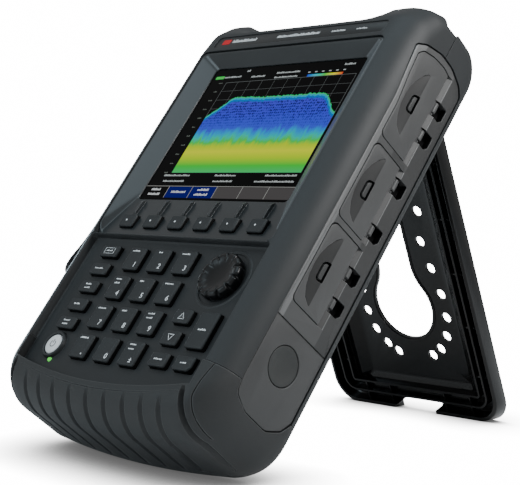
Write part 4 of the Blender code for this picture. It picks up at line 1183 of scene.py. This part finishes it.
def make_battery_cover():
    outline = rounded([(PANEL_Y[1], COVER_TOP_Z, 0.4), (PANEL_Y[0], COVER_TOP_Z, 0.4)] + cover_corners())
    cover = soft_slab(outline, PANEL_X[0], PANEL_X[1], 0.6)
    dish = turned([(0, 90.4), (11.5, 90.4), (11.5, 93.0), (11.9, 93.45), (11.9, 97.0),
                   (0, 97.0)], DISC_AT,
                  (1, 0, 0), 64)
    carve(cover, dish)
    fit(cover, "battery_cover_skin", COVER, "battery_cover", ["battery_cover"], sharp=35)
    button = turned([(0, 91.9), (3.0, 91.95), (6.0, 92.2), (8.6, 92.7), (10.2, 93.15), (10.8, 93.1),
                     (11.15, 92.7),
                     (11.2, 91.6), (0, 91.6)], DISC_AT, (1, 0, 0), 64)
    fit(button, "battery_release_disc", DISC, "battery_release_button", ["battery_release_button"], sharp=40)


DISC_AT = (0, 38.5, 64.6)
DISC = plastic("disc_plastic", (0.018, 0.019, 0.0185), rough=0.6, grain=0.45, specular=0.35)


def make_left_panel():
    """Plain mirrored side cover with a shallow moulded grip field."""
    outline = rounded(cover_corners() + panel_corners())
    panel = soft_slab(outline, -PANEL_X[0], -PANEL_X[1], 0.6)
    field = rounded([(24.0, 100.0, 5.0), (56.0, 100.0, 5.0), (56.0, 250.0, 8.0), (24.0, 250.0, 8.0)])
    carve(panel, pocket(field, -92.6, -93.4, 0.4))
    ribs = [soft_slab(box_outline(26.0, 54.0, z - 1.6, z + 1.6, 1.5), -92.0, -93.3, 0.3) for z in
            [206.0 + 7.2 * k for k in range(6)]]
    carve(panel, *ribs, operation="UNION")
    tools = [turned([(0, -92.0), (2.6, -92.0), (2.9, -94.5), (0, -94.5)], (0, y, z), (1, 0, 0), 28)
             for y, z in ((40.0, 268.0), (40.0, 44.0))]
    carve(panel, *tools)
    fit(panel, "left_panel_skin", PANEL, replaces=["left_side_panel"], sharp=35)
    heads = [screw((-92.1, y, z), (-1, 0, 0), 2.2) for y, z in ((40.0, 268.0), (40.0, 44.0))]
    fit(joined(heads), "left_panel_screws", STEEL, slot="door_hinge_rod")


def screw(origin, axis, radius):
    """A dished screw head with a six-lobed socket."""
    head = turned([(0, -0.2), (radius, -0.2), (radius, 0.35), (radius * 0.8, 0.7), (radius * 0.5, 0.75),
                   (0, 0.75)], origin, axis, 32)
    lobes = turned([(0, 0.05), (radius * 0.42, 0.05), (radius * 0.42, 2.0), (0, 2.0)], origin, axis, 36,
                   wave=lambda k, angle: 0.86 + 0.14 * math.cos(6 * angle))
    return carve(head, lobes)


# ---------------------------------------------------------------- stand

STAND_DEPTH = (-5.8, 5.0)
STAND_TOP = 7.0
STAND_LENGTH = 219.22
KEYHOLE_MIDDLE = 144.5
KEYHOLE_RADIUS = 24.4


def stand_outline(length, shrink=0.0):
    low, high = 72.0 - shrink, 71.0 - shrink
    corners = [(-high, -STAND_TOP - shrink, 1.0), (high, -STAND_TOP - shrink, 1.0),
               (low, shrink - length, 18.0 - shrink), (-low, shrink - length, 18.0 - shrink)]
    return rounded([(a, b, max(0.5, r)) for a, b, r in corners], 7.5)


def keyhole(grow=0.0):
    neck, radius, fillet = 14.6 + grow, KEYHOLE_RADIUS + grow, 30.0 - grow
    reach = radius + fillet
    offset = neck + fillet
    rise = math.sqrt(reach ** 2 - offset ** 2)
    turn = math.degrees(math.atan2(rise, offset))
    right = arc((0, KEYHOLE_MIDDLE), radius, -turn, 90, 24)
    curve = arc((offset, KEYHOLE_MIDDLE - rise), fillet, 180, 180 - turn, 10)
    half = [(neck, 66.6)] + curve[:-1] + right
    left = [(-x, s) for x, s in reversed(half[:-1])]
    outline = half + left + arc((0, 66.6), neck, 190, 350, 12)
    return [(x, -s) for x, s in outline]


def stand_holes():
    spots = []
    for angle in (2.5, 26.4, 47.6, 64.0):
        spots.append((35.0 * math.cos(math.radians(angle)), 149.6 + 35.0 * math.sin(math.radians(angle))))
    spots += [(35.0, 133.9), (31.6, 115.3), (28.1, 96.0), (31.6, 74.5)]
    return [(side * x, -s) for x, s in spots for side in (-1, 1)]


def bulge(levels):
    """A stack of round-cornered boxes, wider or narrower towards the front."""
    return loft([(rounded([(-half, -top, radius), (half, -top, radius), (half, -foot, radius),
                           (-half, -foot, radius)], steps=6), depth)
                 for half, top, foot, radius, depth in levels], "xz")


def rim_rib(shrink, crest, root, thick=1.4):
    """A thin wall that follows the tray's edge at some distance from it."""
    outer = stand_outline(STAND_LENGTH, shrink)
    inner = offset_outline(outer, thick)
    return loft([(outer, root), (outer, crest), (inner, crest), (inner, root)], "xz", closed=True)


def make_stand():
    lean = STAND_OPEN - TILT
    front, back = STAND_DEPTH
    drop = (back - front) * math.tan(lean)
    levels = []
    for shrink, level in ((0.8, front), (0.2, front + 0.3), (0.0, front + 0.9), (0.0, back - 0.9),
                          (0.3, back - 0.2),
                          (1.0, back)):
        outline = stand_outline(STAND_LENGTH + (level - front) * math.tan(lean) + shrink)
        levels.append((offset_outline(outline, shrink), level))
    stand = loft(levels, "xz")
    carve(stand, bulge([(54.0, 18.0, 211.0, 3.0, 4.0), (46.6, 26.4, 202.6, 3.0, 9.2),
                        (45.8, 27.2, 201.8, 3.0, 9.6)]),
          operation="UNION")
    inner, slim = stand_outline(STAND_LENGTH, 2.6), stand_outline(STAND_LENGTH, 3.4)
    carve(stand, loft([(inner, front - 5), (inner, 1.8), (slim, 2.6)], "xz"),
          bulge([(53.4, 18.6, 210.4, 2.0, 1.2), (44.2, 28.8, 200.2, 2.0, 6.8),
                 (43.4, 29.6, 199.4, 2.0, 7.2)]))
    carve(stand, rim_rib(8.6, -4.2, 3.2), rim_rib(15.4, -2.6, 3.2), operation="UNION")
    crossers = []
    for s in (38.0, 76.0, 114.0, 152.0, 188.0):
        half = 71.0 + (s - 7.0) / (STAND_LENGTH - 7.0)
        for side in (-1, 1):
            ends = sorted((side * (half - 2.0), side * (half - 16.0)))
            crossers.append(box_outline(ends[0], ends[1], -s - 0.7, -s + 0.7))
    for x in (-46.0, -24.0, 24.0, 46.0):
        crossers.append(box_outline(x - 0.7, x + 0.7, 2.0 - STAND_LENGTH, 16.0 - STAND_LENGTH))
    carve(stand, prism(crossers, "xz", -1.2, 3.2), operation="UNION")
    collar = [(keyhole(2.4), 7.6), (keyhole(2.4), 6.5), (keyhole(1.0), 6.5), (keyhole(1.0), 7.6)]
    carve(stand, loft(collar, "xz", closed=True), operation="UNION")
    holes = [circle(spot, 3.8, 32) for spot in stand_holes()]
    carve(stand, prism([keyhole()] + holes, "xz", -20, 20))
    spare = 9 * math.tan(lean)
    foot_cut = [(front - 9, spare - STAND_LENGTH), (back + 9, -STAND_LENGTH - drop - spare),
                (back + 9, -STAND_LENGTH - 50), (front - 9, -STAND_LENGTH - 50)]
    notch = rounded([(-20.5, -STAND_LENGTH - 30, 0), (18.5, -STAND_LENGTH - 30, 0),
                     (17.5, 4.4 - STAND_LENGTH, 1.2),
                     (-14.0, 4.4 - STAND_LENGTH, 5.0), (-20.0, 0.6 - STAND_LENGTH, 3.0)])
    carve(stand, prism([foot_cut], "yz", -BEYOND, BEYOND), prism([notch], "xz", -20, 20))
    barrel = prism([circle((0, 0), 5.0, 40)], "yz", -71.0, 71.0)
    bridge = prism([[(0.5, -10.0), (0.5, -1.0), (1.8, -1.0), (5.0, -6.0), (4.2, -10.0)]], "yz", -70.5, 70.5)
    carve(stand, barrel, bridge, operation="UNION")
    grooves = [box_outline(x - 0.6, x + 0.6, -8.0, 8.0) for x in (-46.0, -16.0, 16.0, 46.0)]
    bores = [prism([circle((0, 0), 2.3, 24)], "yz", *sorted((side * 58.0, side * 76.0))) for side in (-1, 1)]
    carve(stand, prism(grooves, "xz", -9.0, -3.9), *bores)
    fit(stand, "stand_tray", GLOSS_BLACK, "bail_stand", ["bail_stand"], LEG, sharp=30)


# ---------------------------------------------------------------- strap

STRAP_LINE = ((-97.4, 93.0), (-100.6, 94.9), (-104.2, 97.4), (-106.2, 101.0), (-106.6, 105.2),
              (-105.8, 110.0),
              (-104.2, 116.0), (-102.9, 123.0), (-102.1, 132.0), (-101.7, 145.0), (-101.4, 158.0),
              (-100.8, 170.0), (-99.9, 181.0), (-98.7, 190.0), (-97.4, 197.0))


def strap_middle(share):
    """Smooth curve through the strap's middle line."""
    at = share * (len(STRAP_LINE) - 1)
    i = min(len(STRAP_LINE) - 2, int(at))
    t = at - i
    points = [Vector(STRAP_LINE[min(len(STRAP_LINE) - 1, max(0, k))]) for k in (i - 1, i, i + 1, i + 2)]
    a, b, c, d = points
    spot = 0.5 * (2 * b + (c - a) * t + (2 * a - 5 * b + 4 * c - d) * t * t
                  + (3 * b - a - 3 * c + d) * t ** 3)
    return spot.x, spot.y


def webbing_look():
    """Woven nylon webbing, with ribs across and twill along."""
    material, tree, shader = principled("nylon_webbing", {"Roughness": 0.8, "Sheen Weight": 0.3})
    spot = add(tree, "UVMap", uv_map="cloth")
    rows = add(tree, "TexWave", {"Scale": 34.0, "Distortion": 0.4, "Vector": spot}, bands_direction="Y")
    twill = add(tree, "TexWave", {"Scale": 17.0, "Distortion": 0.3, "Vector": spot}, bands_direction="X")
    weave = add(tree, "Math", {0: rows.outputs["Fac"], 1: twill.outputs["Fac"]}, operation="MULTIPLY")
    tone = ramp(tree, weave, ((0.0, (0.006, 0.006, 0.007)), (1.0, (0.030, 0.031, 0.033))))
    bump = add(tree, "Bump", {"Strength": 0.6, "Distance": 0.25 * MM, "Height": weave})
    feed(tree, shader, {"Base Color": tone, "Normal": bump})
    return material


def make_strap():
    low_y, high_y = 14.0, 58.0
    bm = bmesh.new()
    layer = bm.loops.layers.uv.new("cloth")
    along, across = 112, 22
    grid = []
    run = 0.0
    previous = None
    for i in range(along + 1):
        share = i / along
        x, z = strap_middle(share)
        ahead, behind = strap_middle(min(1.0, share + 0.004)), strap_middle(max(0.0, share - 0.004))
        slope = Vector((ahead[0] - behind[0], ahead[1] - behind[1])).normalized()
        if previous is not None:
            run += (Vector((x, z)) - previous).length
        previous = Vector((x, z))
        row = []
        for j in range(across + 1):
            edge = abs(2 * j / across - 1.0)
            thick = 1.1 * (1.0 - 0.45 * max(0.0, (edge - 0.86) / 0.14) ** 2)
            y = low_y + (high_y - low_y) * j / across
            crown = 0.5 * (1.0 - edge ** 2) * math.sin(math.pi * share)
            out = Vector((-slope.y, slope.x))
            thick *= 1.0 if 0 < i < along else 0.9
            centre = Vector((x, z)) + out * crown
            row.append([bm.verts.new((centre.x + out.x * t, y, centre.y + out.y * t))
                        for t in (-thick, thick)])
        grid.append((row, run))
    spots = {}
    for row, at in grid:
        for j, pair in enumerate(row):
            for vert in pair:
                spots[vert] = (j / across, at / 44.0)

    def face(*verts):
        made = bm.faces.new(verts)
        for loop in made.loops:
            loop[layer].uv = spots[loop.vert]

    for i in range(along):
        a, b = grid[i][0], grid[i + 1][0]
        for j in range(across):
            face(a[j][0], a[j + 1][0], b[j + 1][0], b[j][0])
            face(a[j][1], b[j][1], b[j + 1][1], a[j + 1][1])
        face(a[0][0], b[0][0], b[0][1], a[0][1])
        face(a[-1][0], a[-1][1], b[-1][1], b[-1][0])
    for end, flip in ((grid[0][0], 1), (grid[-1][0], -1)):
        for j in range(across):
            quad = [end[j][0], end[j][1], end[j + 1][1], end[j + 1][0]]
            face(*(quad if flip > 0 else reversed(quad)))
    strap = fit(solid(bm), "hand_strap_webbing", webbing_look(), replaces=["hand_strap"], sharp=50)
    for name, z0, z1 in (("strap_anchor_lower", 86.0, 92.7), ("strap_anchor_upper", 197.3, 204.0)):
        outline = rounded([(-HALF_WIDTH - 5.0, z0, 2.2), (-93.7, z0, 0.6), (-93.7, z1, 0.6),
                           (-HALF_WIDTH - 5.0, z1, 2.2)])
        levels = [(offset_outline(outline, 0.7), 13.0), (outline, 13.9), (outline, 58.1),
                  (offset_outline(outline, 0.7), 59.0)]
        anchor = loft(levels, "xz")
        wells = [turned([(0, -98.0), (2.2, -98.0), (2.5, -99.5), (0, -99.5)], (0, y, (z0 + z1) / 2),
                        (1, 0, 0), 28)
                 for y in (20.0, 52.0)]
        carve(anchor, *wells)
        fit(anchor, name + "_bar", SOFT_BLACK, replaces=[name])
        heads = [screw((-98.0, y, (z0 + z1) / 2), (-1, 0, 0), 2.0) for y in (20.0, 52.0)]
        fit(joined(heads), name + "_screws", STEEL, slot=name)


# ---------------------------------------------------------------- connectors

SHELF_Z = 278.8
PORT_Y = 37.0


def make_connectors():
    for name, x in (("rf_port_1", -30.0), ("rf_port_2", 30.0)):
        profile = [(0, 0), (9.5, 0), (9.5, 2.6), (9.1, 3.0), (7.9, 3.0), (7.9, 4.2)]
        for k in range(10):
            z = 4.6 + k * 1.0
            profile += [(7.9, z), (7.35, z + 0.45), (7.9, z + 0.9)]
        profile += [(7.7, 15.2), (6.9, 15.9), (6.0, 16.0), (4.3, 16.0), (4.2, 15.6), (4.2, 6.0),
                    (2.2, 6.0), (2.2, 10.0),
                    (1.5, 10.6), (0.9, 10.6), (0.8, 8.0), (0, 8.0)]
        port = turned(profile, (x, PORT_Y, SHELF_Z), (0, 0, 1), 64)
        flats = [prism([box_outline(x - 12, x + 12, SHELF_Z + 0.6, SHELF_Z + 2.9)], "xz", *pair)
                 for pair in ((24.0, PORT_Y - 8.4), (PORT_Y + 8.4, 50.0))]
        carve(port, *flats)
        fit(port, name + "_jack", NICKEL, replaces=[name])
    profile = [(0, 0), (4.0, 0), (4.0, 1.8), (3.8, 2.0), (3.1, 2.0)]
    for k in range(8):
        z = 2.4 + 0.78 * k
        profile += [(3.1, z), (2.75, z + 0.35), (3.1, z + 0.7)]
    profile += [(3.0, 8.8), (2.7, 9.0), (1.7, 9.0), (1.6, 8.8), (1.6, 4.0), (0.7, 4.0), (0.7, 7.0), (0, 7.2)]
    fit(turned(profile, (0, PORT_Y, SHELF_Z), (0, 0, 1), 48), "gps_connector_jack", BRASS,
        replaces=["gps_connector"])


# ---------------------------------------------------------------- marks and insides

def make_brand_strip():
    """A plain red block and dashes where the maker's strip is."""
    rng = random.Random(3)
    x0, x1, z0, z1 = STRIP
    levels = [(box_outline(x0 + 0.15, x1 - 0.15, z0 + 0.15, z1 - 0.15, 2.85), 0.9),
              (box_outline(x0 + 0.15, x1 - 0.15, z0 + 0.15, z1 - 0.15, 2.85), 0.5),
              (box_outline(x0 + 0.5, x1 - 0.5, z0 + 0.5, z1 - 0.5, 2.5), 0.3)]
    fit(sloped(loft(levels, "xz")), "strip_inlay", STRIP_BLACK, slot="front_shell")
    red = plastic("mark_red", (0.42, 0.006, 0.01), rough=0.5, grain=0.05, wear=0.0, specular=0.2)
    block_mark = loft([(box_outline(-66.4, -59.2, 272.6, 277.2, 0.8), 0.45),
                       (box_outline(-66.4, -59.2, 272.6, 277.2, 0.8), 0.2)], "xz")
    fit(sloped(block_mark), "plain_mark", red, slot="front_shell")
    cells = []
    for x, width, height in ((-45.5, 23.0, 2.4), (3.0, 37.0, 2.0), (37.0, 11.0, 1.4), (56.0, 8.5, 1.2)):
        cells += strokes(x, 274.9, width, rng, height)
    soft_ink = plastic("soft_ink", (0.55, 0.57, 0.58), rough=0.6, grain=0.05, wear=0.0, mottle=0.05)
    fit(sloped(bars(cells, 0.22)), "strip_dashes", soft_ink, slot="front_shell")


def make_insides():
    looks = {
        "main_board": plastic("board_green", (0.01, 0.09, 0.03), rough=0.4, grain=0.1),
        "rf_module": STEEL,
        "lcd_panel": SOFT_BLACK,
        "keypad_mat": KEY_TOP,
        "battery_pack": SOFT_BLACK,
        "rotary_encoder": STEEL,
        "door_hinge_rod": SOFT_BLACK,
        "stand_pin_left": STEEL,
        "stand_pin_right": STEEL,
    }
    for name, material in looks.items():
        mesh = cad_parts[name].data
        mesh.materials.clear()
        mesh.materials.append(material)
        mesh.shade_smooth()
        mesh.set_sharp_from_angle(angle=math.radians(32))


def make_back_details():
    """A rating plate without print and the four screws of the back."""
    plate = box_outline(-16.0, 16.0, 100.0, 118.0, 1.5)
    silver = plastic("plate_foil", (0.30, 0.30, 0.31), rough=0.35, grain=0.05, wear=0.0)
    fit(loft([(plate, 59.5), (plate, 59.95), (offset_outline(plate, 0.15), 60.1)], "xz"),
        "rating_plate", silver,
        slot="rear_shell")
    heads = [screw((x, 66.1, z), (0, 1, 0), 3.0) for x in (-81.0, 81.0) for z in (58.0, 262.0)]
    fit(joined(heads), "back_screws", STEEL, slot="stand_pin_left")


# ---------------------------------------------------------------- stage

PAPER_WHITE = 16.0


def make_floor():
    """A pale floor that the camera sees as glowing white paper, with a contact shadow painted in from ambient
    occlusion close to the object.
    """
    look, tree, shader = principled("pale_floor", {"Base Color": (0.85, 0.85, 0.85, 1.0), "Roughness": 0.9,
                                                   "Specular IOR Level": 0.0})
    seen = add(tree, "LightPath")
    # ambient occlusion dims the glowing paper near the object: a painted contact shadow
    reach = add(tree, "AmbientOcclusion", {"Distance": 0.043}, samples=24)
    painted_shadow_fall = add(tree, "Math", {0: reach.outputs["AO"], 1: 3.3}, operation="POWER")
    level = add(tree, "MapRange", {"To Min": 0.12, "To Max": PAPER_WHITE, "Value": painted_shadow_fall})
    paper = add(tree, "Emission", {"Color": WHITE, "Strength": level})
    choose = add(tree, "MixShader", {0: seen.outputs["Is Camera Ray"], 1: shader, 2: paper})
    feed(tree, tree.nodes["Material Output"], {"Surface": choose})
    bm = bmesh.new()
    bmesh.ops.create_grid(bm, x_segments=1, y_segments=1, size=6.0)
    floor = solid(bm, "floor")
    floor.data.materials.append(look)


def make_world():
    """Even light from all round, behind a backdrop as white as the floor."""
    world = bpy.data.worlds.new("studio")
    bpy.context.scene.world = world
    world.use_nodes = True
    tree = world.node_tree
    ambient = feed(tree, tree.nodes["Background"], {"Color": WHITE, "Strength": 0.54})
    backdrop = add(tree, "Background", {"Color": WHITE, "Strength": PAPER_WHITE})
    seen = add(tree, "LightPath")
    choose = add(tree, "MixShader", {0: seen.outputs["Is Camera Ray"], 1: ambient, 2: backdrop})
    feed(tree, tree.nodes["World Output"], {"Surface": choose})


def softbox(name, spot, target, size, power, tint=(1.0, 1.0, 1.0)):
    data = bpy.data.lights.new(name, "AREA")
    data.shape = "RECTANGLE"
    data.size = data.size_y = size
    data.energy = power
    data.color = tint
    lamp = shown(name, data)
    lamp.location = spot
    lamp.rotation_euler = (Vector(target) - Vector(spot)).to_track_quat("-Z", "Y").to_euler()


def make_lights():
    cool = (0.72, 0.90, 1.0)
    softbox("top_light", (0.2, -0.3, 1.5), (0, 0, 0.1), 1.4, 13.0, cool)
    softbox("right_light", (0.60, 0.18, 0.54), (0.09, 0.06, 0.22), 0.26, 5.2)
    softbox("front_light", (-0.5, -1.4, 0.7), (0, -0.05, 0.13), 0.8, 8.5, cool)
    softbox("left_light", (-1.3, 0.25, 0.25), (-0.05, 0.05, 0.15), 0.5, 5.0, cool)


def make_camera():
    azimuth, elevation = math.radians(46.22), math.radians(2.92)
    data = bpy.data.cameras.new("camera")
    data.lens = 92.0
    data.sensor_width = 36.0
    data.shift_x, data.shift_y = -0.0026, -0.0019
    data.clip_start = 0.01
    camera = shown("camera", data)
    camera.location = CASE.translation + Vector((0.58709, -0.41907, 0.12790))
    level = math.cos(elevation)
    back = Vector((math.sin(azimuth) * level, -math.cos(azimuth) * level, math.sin(elevation)))
    camera.rotation_euler = (-back).to_track_quat("-Z", "Y").to_euler()
    bpy.context.scene.camera = camera


# ---------------------------------------------------------------- assembly

whole_case = casing_block()
make_front_shell(whole_case)
make_rear_shell(whole_case)
make_boot(whole_case)
bpy.data.objects.remove(whole_case, do_unlink=True)
make_bezel()
make_display()
for entry in KEYS:
    make_key(*entry)
make_legends()
make_knob()
make_power()
make_right_panel()
make_doors()
make_battery_cover()
make_left_panel()
make_stand()
make_strap()
make_connectors()
make_brand_strip()
make_insides()
make_back_details()
make_floor()
make_world()
make_lights()
make_camera()
